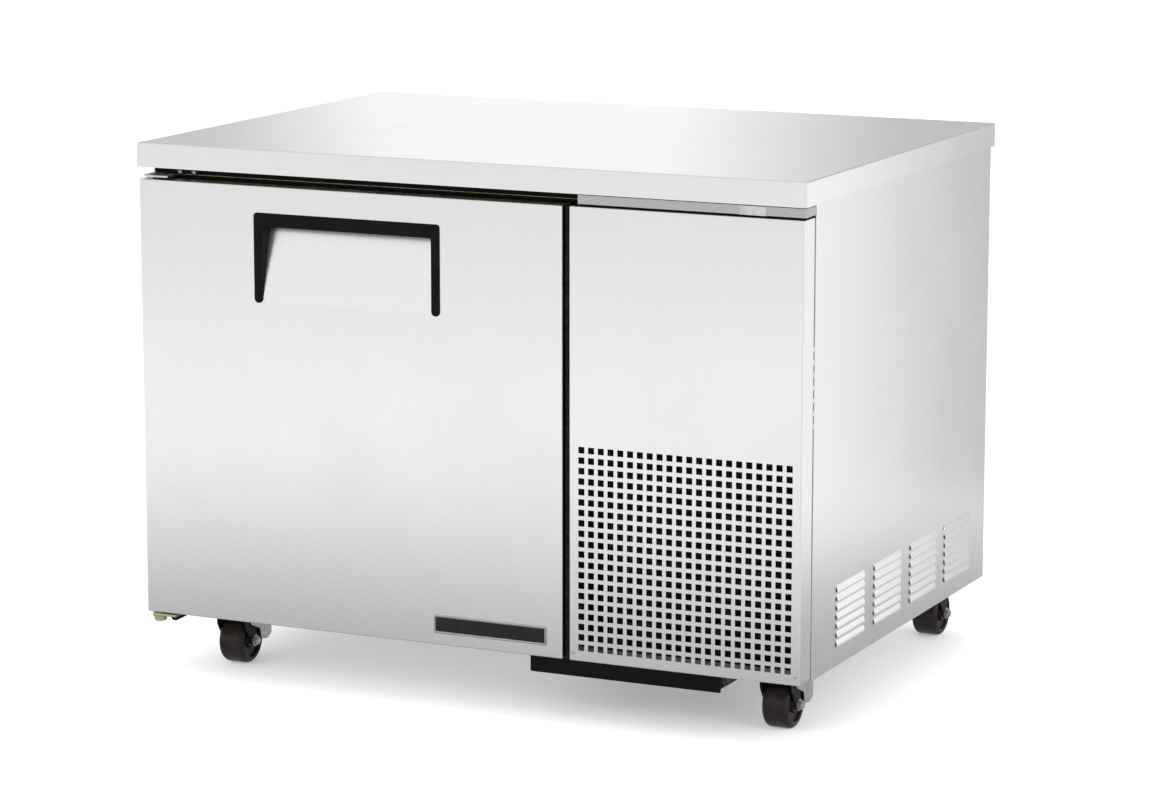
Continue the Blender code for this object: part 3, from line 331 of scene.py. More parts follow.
def steel(name, along, on_ends, colour=(0.76, 0.76, 0.765), roughness=0.27):
    """Brushed stainless steel: hair-fine lines, longer faint streaks, and hand-sized duller clouds."""
    surface = Surface(name, metallic=1.0)
    fine = surface.lines(along, on_ends, 0.035, 0.00040)
    streaks = surface.lines(along, on_ends, 0.180, 0.0045)
    clouds = surface.noise(0.16, 4.0)
    dark, light = tones(colour, 0.012)
    tone = surface.math("ADD", surface.math("MULTIPLY", fine, 0.5), surface.math("MULTIPLY", streaks, 0.5))
    surface.colour(surface.mix(surface.span(tone, 0.0, 1.0), dark, light))
    sheen = surface.math("ADD", surface.span(fine, -0.018, 0.02), surface.span(clouds, -0.015, 0.025))
    surface.rough(surface.math("ADD", sheen, roughness))
    surface.bump(fine, 0.000004, 0.5)
    return surface.material


def galvanised():
    """Zinc spangle: angular crystals, each with its own tone and gloss."""
    surface = Surface("galvanised", metallic=1.0)
    crystal = surface.cells(0.009, "Color")
    grey = surface.node("ShaderNodeSeparateColor")
    surface.feed(grey.inputs[0], crystal)
    tone = surface.math("ADD", surface.math("MULTIPLY", grey.outputs[0], 0.7), surface.noise(0.05))
    faded = surface.span(tone, 0.0, 1.0, 0.3, 1.2)
    surface.colour(surface.mix(faded, (0.50, 0.52, 0.54), (0.70, 0.71, 0.72)))
    surface.rough(surface.span(grey.outputs[1], 0.30, 0.52, 0.0, 1.0))
    surface.bump(surface.cells(0.009, feature="SMOOTH_F1"), 0.00008, 0.4)
    return surface.material


def zinc(name, plain, stained):
    """Zinc plate, stained in places, with fine scratches."""
    surface = Surface(name, metallic=1.0)
    stain = surface.span(surface.noise(0.012, 4.0), 0.0, 1.0, 0.42, 0.70)
    surface.colour(surface.mix(stain, plain, stained))
    scratches = surface.lines("Y", "Z", 0.012, 0.00035)
    dulled = surface.span(stain, 0.0, 0.12, 0.0, 1.0)
    surface.rough(surface.math("ADD", surface.span(scratches, 0.24, 0.40), dulled))
    surface.bump(scratches, 0.00002, 0.5)
    return surface.material


def aluminium(name, along, on_ends):
    surface = Surface(name, metallic=1.0)
    rolled = surface.lines(along, on_ends, 0.060, 0.0009)
    clouds = surface.noise(0.10, 4.0)
    surface.colour(surface.mix(surface.span(clouds, 0.0, 1.0), (0.76, 0.77, 0.78), (0.84, 0.85, 0.86)))
    surface.rough(surface.math("ADD", surface.span(rolled, 0.28, 0.38), surface.span(clouds, -0.02, 0.05)))
    surface.bump(rolled, 0.00002, 0.5)
    return surface.material


def copper():
    surface = Surface("copper", metallic=1.0)
    tarnish = surface.span(surface.noise(0.025, 5.0), 0.0, 1.0, 0.45, 0.65)
    surface.colour(surface.mix(tarnish, (0.80, 0.45, 0.28), (0.36, 0.19, 0.12)))
    surface.rough(surface.span(tarnish, 0.22, 0.48, 0.0, 1.0))
    surface.bump(surface.noise(0.002), 0.00004, 0.4)
    return surface.material


def black_plastic():
    """Moulded black plastic with a fine grain, a little greyer where it is handled."""
    surface = Surface("black_plastic", specular=0.07)
    handled = surface.math("MAXIMUM", surface.worn_edges(), surface.span(surface.noise(0.04), 0.0, 0.25))
    surface.colour(surface.mix(handled, (0.0025, 0.0025, 0.0027), (0.010, 0.010, 0.0105)))
    surface.rough(surface.span(surface.noise(0.02, 4.0), 0.36, 0.50))
    surface.bump(surface.noise(0.0007, 2.0), 0.00006, 0.5)
    return surface.material


def black_paint():
    """Satin black paint with orange peel, dust in the hollows and grey metal on worn edges."""
    surface = Surface("black_paint", specular=0.08)
    dust = surface.span(surface.noise(0.05, 4.0), 0.0, 0.5)
    dusty = surface.mix(dust, (0.003, 0.003, 0.0032), (0.010, 0.0097, 0.0093))
    surface.colour(surface.mix(surface.worn_edges(0.56, 0.66), dusty, (0.10, 0.10, 0.10)))
    surface.rough(surface.span(surface.noise(0.015, 4.0), 0.28, 0.46))
    surface.bump(surface.noise(0.0022, 1.5), 0.00006, 0.5)
    return surface.material


def mottled(name, colour, gloss, grain=None, **shader):
    """A surface whose colour, roughness and bump each follow a noise of its own size and detail."""
    surface = Surface(name, **shader)
    size, detail, dark, light = colour
    surface.colour(surface.mix(surface.noise(size, detail), dark, light))
    size, detail, low, high = gloss
    surface.rough(surface.span(surface.noise(size, detail), low, high))
    if grain:
        size, detail, depth = grain
        surface.bump(surface.noise(size, detail), depth, 0.5)
    return surface.material


def badge_trim():
    """Polished bright metal, a little warm, with fine scratches."""
    surface = Surface("badge_trim", metallic=1.0)
    surface.colour(surface.mix(surface.noise(0.015, 3.0), (0.36, 0.36, 0.35), (0.52, 0.52, 0.50)))
    surface.rough(surface.span(surface.lines("X", "Z", 0.020, 0.0004), 0.16, 0.30))
    surface.bump(surface.noise(0.004), 0.00002, 0.4)
    return surface.material


def wheel_rubber():
    """Hard brown-black rubber: a shine along the tread, scuffs, and dust in the recess."""
    surface = Surface("wheel_rubber", specular=0.36)
    dust = surface.span(surface.noise(0.012, 5.0), 0.0, 1.0, 0.40, 0.75)
    surface.colour(surface.mix(dust, (0.0085, 0.0038, 0.0032), (0.022, 0.0125, 0.0105)))
    scuffs = surface.noise(0.0016, 4.0)
    dulled = surface.span(dust, 0.0, 0.12, 0.0, 1.0)
    surface.rough(surface.math("ADD", surface.span(scuffs, 0.28, 0.42), dulled))
    surface.bump(scuffs, 0.00008, 0.4)
    return surface.material


def foam():
    """Cut polyurethane foam: pale yellow with open cells."""
    surface = Surface("foam", specular=0.2)
    surface.colour(surface.mix(surface.cells(0.0016), (0.66, 0.53, 0.28), (0.86, 0.75, 0.48)))
    surface.rough(surface.span(surface.noise(0.004), 0.82, 0.95))
    surface.bump(surface.cells(0.0012), 0.0003, 0.7)
    return surface.material


# ---------------------------------------------------------------- mesh helpers
def placed(name, data):
    made = bpy.data.objects.new(name, data)
    bpy.context.scene.collection.objects.link(made)
    return made


def new_object(name, bm, sharp=40.0):
    bmesh.ops.recalc_face_normals(bm, faces=bm.faces)
    mesh = bpy.data.meshes.new(name)
    bm.to_mesh(mesh)
    bm.free()
    mesh.shade_smooth()
    mesh.set_sharp_from_angle(angle=math.radians(sharp))
    return placed(name, mesh)


def add_box(bm, low, high):
    low, high = Vector(low), Vector(high)
    shape = Matrix.Translation((low + high) / 2) @ Matrix.Diagonal((*(high - low), 1.0))
    bmesh.ops.create_cube(bm, size=1.0, matrix=shape)


def cube(low, high):
    bm = bmesh.new()
    add_box(bm, low, high)
    return bm


def round_off(bm, width, segments=3, edges=None):
    bmesh.ops.bevel(
        bm, geom=edges or bm.edges[:], offset=width, segments=segments, profile=0.5, affect="EDGES",
        clamp_overlap=True,
    )


def block(name, low, high, bevel=0.0008, segments=3):
    bm = cube(low, high)
    if bevel:
        round_off(bm, bevel, segments)
    return new_object(name, bm)


def lie_along(axis):
    """Turns what was made along Z so that it lies along the axis."""
    return {
        "X": Matrix.Rotation(QUARTER, 4, "Y"),
        "Y": Matrix.Rotation(-QUARTER, 4, "X"),
        "Z": Matrix(),
    }[axis]


def turned(name, profile, centre, axis="Z", steps=64, ring=False):
    """A turned solid from (radius, height) points; a ring's outline closes on itself."""
    bm = bmesh.new()
    points = [bm.verts.new((radius, 0.0, height)) for radius, height in profile]
    pairs = list(zip(points, points[1:])) + ([(points[-1], points[0])] if ring else [])
    edges = [bm.edges.new(pair) for pair in pairs]
    bmesh.ops.spin(
        bm, geom=[*points, *edges], cent=(0, 0, 0), axis=(0, 0, 1), angle=math.tau, steps=steps
    )
    bmesh.ops.remove_doubles(bm, verts=bm.verts, dist=0.000005)
    bm.transform(Matrix.Translation(centre) @ lie_along(axis))
    return new_object(name, bm, 35.0)


def rod(name, radius, start, end, centre, axis, steps):
    """A plain round bar, disc or bore along the axis."""
    return turned(name, [(0.0, start), (radius, start), (radius, end), (0.0, end)], centre, axis, steps)


def rounded(corners, radii, steps=6):
    """The outline through the corners, with each corner turned into an arc of its radius."""
    outline = []
    for k, (corner, radius) in enumerate(zip(corners, radii)):
        here = Vector(corner)
        if not radius:
            outline.append(tuple(here))
            continue
        before = (Vector(corners[k - 1]) - here).normalized()
        after = (Vector(corners[(k + 1) % len(corners)]) - here).normalized()
        half_angle = before.angle(after) / 2
        centre = here + (before + after).normalized() * radius / math.sin(half_angle)
        first = here + before * radius / math.tan(half_angle) - centre
        last = here + after * radius / math.tan(half_angle) - centre
        start = math.atan2(first.y, first.x)
        sweep = (math.atan2(last.y, last.x) - start + math.pi) % math.tau - math.pi
        for step in range(steps + 1):
            angle = start + sweep * step / steps
            outline.append((centre.x + radius * math.cos(angle), centre.y + radius * math.sin(angle)))
    return outline


def rounded_rectangle(sides, radius):
    """The outline of a rectangle (left, right, bottom, top) with round corners."""
    left, right, bottom, top = sides
    return rounded([(left, bottom), (right, bottom), (right, top), (left, top)], [radius] * 4)


def polygon(centre, radius, count=6):
    """Corners evenly round a centre, as pairs."""
    turns = [k * math.tau / count for k in range(count)]
    return [(centre[0] + radius * math.cos(turn), centre[1] + radius * math.sin(turn)) for turn in turns]


def four_corners(centre, across, along):
    """Four places round a centre, as on a rectangle's corners."""
    for side in (-1, 1):
        for end in (-1, 1):
            yield Vector((centre.x + side * across, centre.y + end * along, 0.0))


def join_loops(bm, pairs):
    """Faces between each pair of loops that have the same number of points."""
    for one, other in pairs:
        for k in range(len(one)):
            after = (k + 1) % len(one)
            bm.faces.new((one[k], one[after], other[after], other[k]))


def drawn(name, outline, low, high, axis, bevel=0.0, segments=2):
    """A flat outline in the two other axes, drawn out from low to high along the axis."""
    k = AXES.index(axis)
    bm = bmesh.new()
    caps = []
    for depth in (low, high):
        corners = [list(point) for point in outline]
        for corner in corners:
            corner.insert(k, depth)
        caps.append([bm.verts.new(corner) for corner in corners])
    faces = [bm.faces.new(cap) for cap in caps]
    rims = [edge for face in faces for edge in face.edges]
    join_loops(bm, [caps])
    bmesh.ops.recalc_face_normals(bm, faces=bm.faces)
    if bevel:
        round_off(bm, bevel, segments, rims)
    return new_object(name, bm)


def hexagon(name, centre, radius, low, high, axis, bevel=0.0007):
    """A nut or bolt head along the axis, with its corners turned off."""
    return drawn(name, polygon(centre, radius), low, high, axis, bevel)


def gather(bm, made):
    """Moves an object's mesh into the bmesh, and removes the object."""
    bm.from_mesh(made.data)
    bpy.data.objects.remove(made)


def merged(name, first, *others):
    """One closed solid from several that touch or cross, which are removed."""
    for other in others:
        combine(first, other, "UNION")
    first.name = name
    first.data.name = name
    return first


def settle(made):
    """Applies an object's modifiers to its mesh."""
    graph = bpy.context.evaluated_depsgraph_get()
    graph.update()
    made.data = bpy.data.meshes.new_from_object(made.evaluated_get(graph))
    made.modifiers.clear()
    return made


def combine(obj, other, operation="DIFFERENCE"):
    """Cuts the other shape from the object, or joins or intersects them, and removes the other."""
    modifier = obj.modifiers.new("combine", "BOOLEAN")
    modifier.operation = operation
    modifier.solver = "EXACT"
    modifier.object = other
    mesh = settle(obj).data
    mesh.shade_smooth()
    mesh.set_sharp_from_angle(angle=math.radians(35))
    bpy.data.objects.remove(other)
    return obj


def thickened(made, thickness, offset, even=False):
    sheet = made.modifiers.new("sheet", "SOLIDIFY")
    sheet.thickness = thickness
    sheet.offset = offset
    sheet.use_even_offset = even
    return made


def folded(name, low, high, open_sides, thickness, bend):
    """A box of sheet metal with rounded folds, without the faces on its open sides."""
    bm = cube(low, high)
    bm.normal_update()
    gone = []
    for sign, letter in open_sides:
        facing = 1 if sign == "+" else -1
        gone += [face for face in bm.faces if face.normal[AXES.index(letter)] * facing > 0.9]
    bmesh.ops.delete(bm, geom=gone, context="FACES")
    round_off(bm, bend, 4, [edge for edge in bm.edges if len(edge.link_faces) == 2])
    return thickened(new_object(name, bm), thickness, -1.0, even=True)


def wires(name, lines, radius, cyclic=False):
    """Round wires through lists of points, as one object."""
    curve = bpy.data.curves.new(name, "CURVE")
    curve.dimensions = "3D"
    curve.bevel_depth = radius
    curve.bevel_resolution = 3
    curve.use_fill_caps = True
    for points in lines:
        spline = curve.splines.new("POLY")
        spline.points.add(len(points) - 1)
        spline.use_cyclic_u = cyclic
        for point, place in zip(spline.points, points):
            point.co = (*place, 1.0)
    return placed(name, curve)


def arc(centre, radius, start, end, steps):
    """Points on an arc in degrees, as pairs."""
    angles = [math.radians(start + (end - start) * step / steps) for step in range(steps + 1)]
    return [(centre[0] + radius * math.cos(angle), centre[1] + radius * math.sin(angle)) for angle in angles]


def node_rectangle(node):
    """The left, right, bottom and top of a node seen from the front."""
    low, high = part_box(node)
    return low.x, high.x, low.z, high.z


def inset(rectangle, amount):
    left, right, bottom, top = rectangle
    return left + amount, right - amount, bottom + amount, top - amount


def slope(outer, inner, radius, start, end, steps=6):
    """Loops from one rectangle to another one, easing in depth from start to end."""
    loops = []
    for step in range(steps + 1):
        t = step / steps
        eased = t * t * (3 - 2 * t)
        between = tuple(a + (b - a) * t for a, b in zip(outer, inner))
        loops.append((between, radius, start + (end - start) * eased))
    return loops


def relief(name, loops, ring=False, closed=True):
    """A form made of rounded rectangles at different depths along Y, joined from each to the next."""
    bm = bmesh.new()
    rings = [
        [bm.verts.new((x, depth, z)) for x, z in rounded_rectangle(sides, radius)]
        for sides, radius, depth in loops
    ]
    join_loops(bm, list(zip(rings, rings[1:])) + ([(rings[-1], rings[0])] if ring else []))
    if not ring:
        bm.faces.new(rings[-1])
        if closed:
            bm.faces.new(rings[0])
    return new_object(name, bm)


def screw_heads(name, radius, places, facing=-1):
    """Pan heads with a cross recess on the cabinet, all facing one way along Y."""
    height = radius * 0.62
    dome = [(0.0, height)] + [
        (radius * math.sin(math.radians(angle)), height * math.cos(math.radians(angle)) ** 0.7)
        for angle in range(15, 90, 15)
    ]
    head = turned("head", [*dome, (radius, 0.0), (0.0, 0.0)], (0, 0, 0), "Z", 28)
    slot = 0.16 * radius
    for length, width in ((0.55 * radius, slot), (slot, 0.55 * radius)):
        combine(head, block("slot", (-length, -width, height * 0.55), (length, width, height * 2), 0.0))
    bm = bmesh.new()
    turn = Matrix.Rotation(-facing * QUARTER, 4, "X")
    for place in places:
        mesh = head.data.copy()
        mesh.transform(Matrix.Translation(place) @ turn)
        bm.from_mesh(mesh)
    bpy.data.objects.remove(head)
    return fit(new_object(name, bm), ZINC)


def fit(piece, look, *nodes, body="cabinet"):
    """Gives a piece its look, and lets it ride in place of the CAD nodes."""
    piece.data.materials.clear()
    piece.data.materials.append(look)
    if piece.type == "MESH":
        flat = piece.modifiers.new("flat_faces", "WEIGHTED_NORMAL")
        flat.keep_sharp = True
        flat.weight = 100
    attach(piece, body)
    if nodes:
        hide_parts(*nodes)
    return piece


def dress(look, *nodes):
    for name in nodes:
        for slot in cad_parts[name].material_slots:
            slot.material = look


def middle(node):
    low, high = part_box(node)
    return (low + high) / 2


# ---------------------------------------------------------------- shared looks
UPRIGHT_STEEL = steel("steel_upright", "Z", "Y")
# painted light: the top's steel is a little lighter than the upright panels' steel
LEVEL_STEEL = steel("steel_level", "X", "Z", (0.79, 0.79, 0.795))
# painted shade: a darker copy of the steel, for the channel that sits in the shade under the top's lip
SHADED_STEEL = steel("steel_shaded", "X", "Z", (0.44, 0.44, 0.44), 0.32)
# painted light: the scoop's steel is a lighter copy of the door's steel, so that the pocket reads bright
LIGHTENED_SCOOP_STEEL = steel("steel_scoop_lightened", "Z", "Y", (0.885, 0.885, 0.89))
GALVANISED = galvanised()
ZINC = zinc("zinc", (0.62, 0.635, 0.65), (0.50, 0.50, 0.475))
YELLOW_ZINC = zinc("yellow_zinc", (0.62, 0.59, 0.40), (0.42, 0.38, 0.22))
LINER_ALUMINIUM = aluminium("aluminium_liner", "Z", "X")
FIN_ALUMINIUM = aluminium("aluminium_parts", "X", "Z")
COPPER = copper()
BLACK_PLASTIC = black_plastic()
BLACK_PAINT = black_paint()
BADGE_TRIM = badge_trim()
WHEEL_RUBBER = wheel_rubber()
FOAM = foam()
BADGE_ENAMEL = mottled(
    "badge_enamel", (0.02, 3.0, (0.008, 0.009, 0.008), (0.018, 0.020, 0.017)), (0.008, 4.0, 0.12, 0.24),
    (0.003, 3.0, 0.00002), specular=0.14,
)
DIAL_PRINT = mottled(
    "dial_print", (0.002, 3.0, (0.60, 0.60, 0.60), (0.86, 0.86, 0.86)), (0.003, 3.0, 0.42, 0.58),
)
GREY_VINYL = mottled(
    "grey_vinyl", (0.03, 4.0, (0.035, 0.035, 0.037), (0.065, 0.065, 0.068)), (0.01, 3.0, 0.46, 0.62),
    (0.0012, 3.0, 0.00005), specular=0.4,
)
WHITE_LINER = mottled(
    "white_liner", (0.12, 3.0, (0.60, 0.61, 0.605), (0.67, 0.67, 0.655)), (0.03, 3.0, 0.28, 0.42),
    (0.0035, 1.5, 0.00008),
)
COATED_WIRE = mottled(
    "coated_wire", (0.02, 3.0, (0.66, 0.67, 0.66), (0.76, 0.76, 0.74)), (0.006, 3.0, 0.22, 0.36),
    (0.0025, 2.0, 0.00010), coat=0.2,
)


def dress_frame():
    """The CAD nodes that stay in view get their finished materials."""
    dress(UPRIGHT_STEEL, "left_side_panel", "grille_panel")
    dress(SHADED_STEEL, "grille_top_channel")
    dress(GALVANISED, "rear_panel", "bottom_panel", "machine_deck", "condenser_shroud", "control_box")
    dress(ZINC, "hinge_cartridge")
    dress(LINER_ALUMINIUM, "evaporator_cover")
    dress(FIN_ALUMINIUM, *[f"pilaster_{side}_{end}" for side in SIDES for end in ENDS])
    dress(COPPER, "suction_line", "liquid_line_drier")
    # the top front rail takes the black plastic partly as painted shade: the gap under the top's lip is dark
    dress(BLACK_PLASTIC, "door_frame", "mullion_trim", "top_front_rail", "compressor_terminal_cover")
    dress(BLACK_PAINT, "condenser_fan_motor", "evaporator_fan_motor")
    dress(FOAM, "insulated_body", "door_foam_core")


# ---------------------------------------------------------------- castors
AXLE_RADIUS = 0.0048
TYRE_ROUND = 0.0085
FORK_GAP = 0.0045
FORK_SHEET = 0.0025
CROWN_TOP = 0.095
PLATE_BOLT_X = 0.0235
PLATE_BOLT_Y = 0.0355


def castor_wheel(place):
    """A wide wheel with a crowned tread, round shoulders, a raised tyre ring and a dished web."""
    node = "wheel_" + place
    low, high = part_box(node)
    centre = middle(node)
    half = (high.x - low.x) / 2
    radius = centre.z - low.z
    shoulder = arc((radius - TYRE_ROUND, half - TYRE_ROUND), TYRE_ROUND, 8, 84, 8)
    side = [(radius - 0.0100, half - 0.0012), (radius - 0.0112, half - 0.0052), (0.0140, half - 0.0058)]
    side += [(0.0125, half - 0.0004), (0.0110, half), (AXLE_RADIUS + 0.0008, half)]
    upper = [*reversed(side), *reversed(shoulder)]
    profile = [*upper, (radius, 0.0), *[(distance, -height) for distance, height in reversed(upper)]]
    wheel = turned(f"castor_wheel_{place}", profile, centre, "X", 72, ring=True)
    fit(wheel, WHEEL_RUBBER, node, body=node)


def castor_fork(place):
    """A pressed fork: a U of sheet steel with rounded bends, cut to its tapering side view."""
    node = "fork_" + place
    low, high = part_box(node)
    wheel = middle("wheel_" + place)
    stem = middle("castor_plate_" + place).y
    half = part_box("wheel_" + place)[1].x - wheel.x + FORK_GAP
    foot = 0.028
    clear = half - FORK_SHEET
    roof = high.z - FORK_SHEET
    outer = rounded([(-half, foot), (-half, high.z), (half, high.z), (half, foot)], [0.0, 0.006, 0.006, 0.0])
    inside = [(clear, foot), (clear, roof), (-clear, roof), (-clear, foot)]
    inner = rounded(inside, [0.0, 0.0038, 0.0038, 0.0])
    bend = [(wheel.x + x, z) for x, z in outer + inner]
    pressed = drawn(f"castor_fork_{place}", bend, stem - 0.026, stem + 0.026, "Y")
    corners = [(stem - 0.0080, CROWN_TOP), (stem - 0.0080, 0.066), (wheel.y - 0.011, 0.037)]
    corners += [(wheel.y - 0.011, low.z), (wheel.y + 0.011, low.z), (wheel.y + 0.011, 0.037)]
    corners += [(stem + 0.0245, 0.074), (stem + 0.0245, CROWN_TOP)]
    view = rounded(corners, [0.0, 0.006, 0.012, 0.010, 0.010, 0.012, 0.006, 0.0])
    combine(pressed, drawn("fork_view", view, wheel.x - 0.03, wheel.x + 0.03, "X"), "INTERSECT")
    fit(pressed, BLACK_PAINT, node, body=node)
    shank = [(0.0, -half - 0.004), (AXLE_RADIUS, -half - 0.004)]
    shank += [(AXLE_RADIUS, half + 0.0078), (0.0, half + 0.0082)]
    axle = turned("axle", shank, wheel, "X", 32)
    nut = hexagon("nut", wheel.yz, 0.0078, wheel.x + half + 0.0012, wheel.x + half + 0.0058, "X")
    head = hexagon("head", wheel.yz, 0.0078, wheel.x - half - 0.0045, wheel.x - half - 0.0010, "X")
    washers = [rod("washer", 0.0092, near, near + 0.0010, wheel, "X", 32) for near in (half, -half - 0.0010)]
    fit(merged(f"castor_axle_bolt_{place}", axle, nut, head, *washers), ZINC, body=node)


def castor_plate(place):
    """The top plate with rounded corners and four bolts, over a swivel race and the kingpin's nut."""
    node = "castor_plate_" + place
    low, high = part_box(node)
    x, y = middle(node).xy
    outline = rounded_rectangle((low.x, high.x, low.y, high.y), 0.007)
    base = drawn(f"castor_top_plate_{place}", outline, high.z - 0.0032, high.z, "Z", 0.0006)
    race = [(0.0, 0.0972), (0.0262, 0.0972), (0.0270, 0.0955), (0.0262, 0.0938), (0.0240, 0.0932)]
    race += [(0.0250, 0.0918), (0.0245, 0.0902), (0.0220, 0.0894), (0.0, 0.0894)]
    centre = Vector((x, y, 0.0))
    pressed = turned("race", race, centre, steps=56)
    pin = [(0.0, 0.0896), (0.0055, 0.0896), (0.0055, 0.0800), (0.0, 0.0796)]
    kingpin = turned("kingpin", pin, centre, steps=28)
    nut = hexagon("nut", (x, y), 0.0095, 0.0806, 0.0852, "Z")
    under = high.z - 0.0036
    bolts = []
    for at in four_corners(centre, PLATE_BOLT_X, PLATE_BOLT_Y):
        bolts.append(hexagon("bolt", at, 0.0058, high.z - 0.0072, under, "Z", 0.0006))
        bolts.append(rod("washer", 0.0075, 0.0004, -0.0008, (at.x, at.y, under), "Z", 28))
    fit(merged(base.name, base, pressed, kingpin, nut), ZINC, node)
    fit(merged(f"castor_bolts_{place}", *bolts), ZINC)


def brake_pedal(side):
    """The zinc-plated brake lever: two arms and a cranked tread plate with a rib."""
    node = "brake_lever_" + side
    low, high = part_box(node)
    x = middle(node).x
    pin = high.z - 0.0065
    front = low.y + 0.0068
    back = high.y - 0.0062
    axle = middle("wheel_front_" + side).y
    corners = [(front - 0.0068, pin - 0.006), (front - 0.0068, pin + 0.0062), (front + 0.008, pin + 0.0062)]
    corners += [(back, low.z + 0.022), (back, low.z - 0.004), (axle + 0.036, 0.0335), (axle + 0.018, 0.0360)]
    corners.append((axle + 0.013, 0.0550))
    arm = rounded(corners, [0.0058, 0.0058, 0.006, 0.003, 0.003, 0.004, 0.004, 0.006])
    half = (high.x - low.x) / 2
    sheet = 0.0018
    arms = [drawn("arm", arm, x + near, x + near + sheet, "X", 0.0004) for near in (-half, half - sheet)]
    tread = [(back - 0.002, low.z + 0.0012), (back - 0.002, low.z + 0.0236), (back + 0.006, high.z - 0.0105)]
    tread += [(back + 0.0062, high.z - 0.0122), (back, low.z + 0.0220), (back, low.z + 0.0012)]
    pad = drawn("pad", tread, x - half + 0.0003, x + half - 0.0003, "X", 0.0004)
    rib_low = (x - 0.012, back - 0.0006, low.z + 0.006)
    rib = block("rib", rib_low, (x + 0.012, back + 0.0012, low.z + 0.010), 0.0005)
    fit(merged(f"brake_pedal_{side}", *arms, pad, rib), ZINC, node, body=node)


def castors():
    for place in CASTORS:
        castor_wheel(place)
        castor_fork(place)
        castor_plate(place)
    for side in SIDES:
        brake_pedal(side)


# ---------------------------------------------------------------- door
SHEET = 0.0012
FOLD = 0.0022
HANDLE_BAR = 0.0215
HANDLE_LEG = 0.0145
GASKET_WIDTH = 0.022
FRONT_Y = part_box("door_frame")[0].y
PIN_X, PIN_Y = middle("hinge_cartridge").xy


def handle():
    """The black handle: a bar and two legs with soft edges, and tapering cheeks under a roof."""
    low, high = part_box("handle_bezel")
    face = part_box("door_skin")[0].y
    left, right = low.x + HANDLE_LEG, high.x - HANDLE_LEG
    under = high.z - HANDLE_BAR
    corners = [(low.x, low.z), (low.x, high.z), (high.x, high.z), (high.x, low.z)]
    corners += [(right, low.z), (right, under), (left, under), (left, low.z)]
    outline = rounded(corners, [0.0070, 0.0055, 0.0055, 0.0070, 0.0070, 0.0035, 0.0035, 0.0070], 8)
    front = drawn("handle_frame", outline, low.y, face + 0.0012, "Y", 0.0009, 3)
    profile = [(face, low.z + 0.005), (face + 0.0022, low.z + 0.007)]
    profile += [(high.y, under - 0.002), (high.y, under + 0.006), (face, under + 0.006)]
    cheeks = [
        drawn("cheek", rounded(profile, [0.0, 0.0, 0.004, 0.0, 0.0]), x - 0.0012, x + 0.0012, "X", 0.0004)
        for x in (left - 0.0016, right + 0.0016)
    ]
    roof = block("roof", (left - 0.001, face, under + 0.0003), (right + 0.001, high.y, under + 0.003))
    fit(merged("door_handle", front, *cheeks, roof), BLACK_PLASTIC, "handle_bezel", body="door")


def scoop():
    """The steel plate in the pocket: it leaves the door's face gently and deepens towards the bar."""
    low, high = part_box("handle_scoop")
    low.z -= 0.0004
    steps = 14
    front = []
    for step in range(steps + 1):
        t = step / steps
        front.append((low.y + (high.y - low.y - 0.0014) * t ** 1.25, low.z + (high.z - low.z) * t))
    back = [(y + 0.0013, z) for y, z in reversed(front)]
    plate = drawn("handle_scoop_plate", front + back, low.x, high.x, "X")
    fit(plate, LIGHTENED_SCOOP_STEEL, "handle_scoop", body="door")


def badge():
    """A plain name plate: a black field in a bright bevelled border."""
    sides = node_rectangle("door_badge")
    low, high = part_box("door_badge")
    rim, groove = 0.0030, 0.0006
    inner = inset(sides, rim + groove)
    field = [(inner, groove, high.y), (inner, groove, low.y + 0.0006)]
    field.append((inset(inner, groove), groove, low.y + 0.0004))
    fit(relief("door_badge_field", field), BADGE_ENAMEL, "door_badge", body="door")
    border = [(sides, 0.0014, high.y), (sides, 0.0014, low.y + 0.0008)]
    border += [(inset(sides, 0.0010), 0.0012, low.y), (inset(sides, rim - 0.0010), 0.0008, low.y)]
    border += [(inset(sides, rim), groove, low.y + 0.0008), (inset(sides, rim), groove, high.y)]
    fit(relief("door_badge_border", border, ring=True), BADGE_TRIM, body="door")


def door_shell():
    """The door's folded skin, with the window for the handle's pocket and the hinge pins' holes."""
    low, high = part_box("door_skin")
    skin = settle(folded("door_panel", low, high, ("+Y",), SHEET, FOLD))
    left, right, bottom, top = inset(node_rectangle("handle_bezel"), 0.003)
    combine(skin, block("window", (left, low.y - 0.01, bottom), (right, low.y + 0.01, top), 0.002))
    combine(skin, rod("bore", 0.008, low.z - 0.01, high.z + 0.01, (PIN_X, PIN_Y, 0.0), "Z", 32))
    fit(skin, UPRIGHT_STEEL, "door_skin", body="door")


def cavity():
    """The clear opening of the cold compartment, seen from the front."""
    return inset(node_rectangle("inner_liner"), SHEET)


def door_liner():
    """The vacuum-formed back of the door: a raised rim with soft edges round a shallow dish."""
    base = node_rectangle("door_inner_liner")
    low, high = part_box("door_inner_liner")
    face = low.y + 0.004
    panel = inset(cavity(), 0.020)
    loops = [(base, 0.002, low.y), (base, 0.002, face - 0.001), (inset(base, 0.001), 0.002, face)]
    loops += slope(panel, inset(panel, 0.012), 0.022, face, high.y)
    loops += slope(inset(panel, 0.040), inset(panel, 0.056), 0.026, high.y, face + 0.002)
    fit(relief("door_back_liner", loops), WHITE_LINER, "door_inner_liner", body="door")


def gasket():
    """The magnetic gasket: a soft face, a bellows fold on each side and mitred corners."""
    sides = node_rectangle("door_gasket")
    low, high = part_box("door_gasket")
    depth = high.y - low.y
    profile = [(0.0015, 0.0), (0.0, 0.20), (0.0022, 0.42), (0.0004, 0.66), (0.0016, 0.94), (0.0040, 1.0)]
    profile += [(0.0092, 1.0), (0.0110, 0.88)]
    section = profile + [(GASKET_WIDTH - across, along) for across, along in reversed(profile[:-1])]
    loops = [(inset(sides, across), 0.0012, low.y + depth * along) for across, along in section]
    fit(relief("door_seal", loops, ring=True), GREY_VINYL, "door_gasket", body="door")


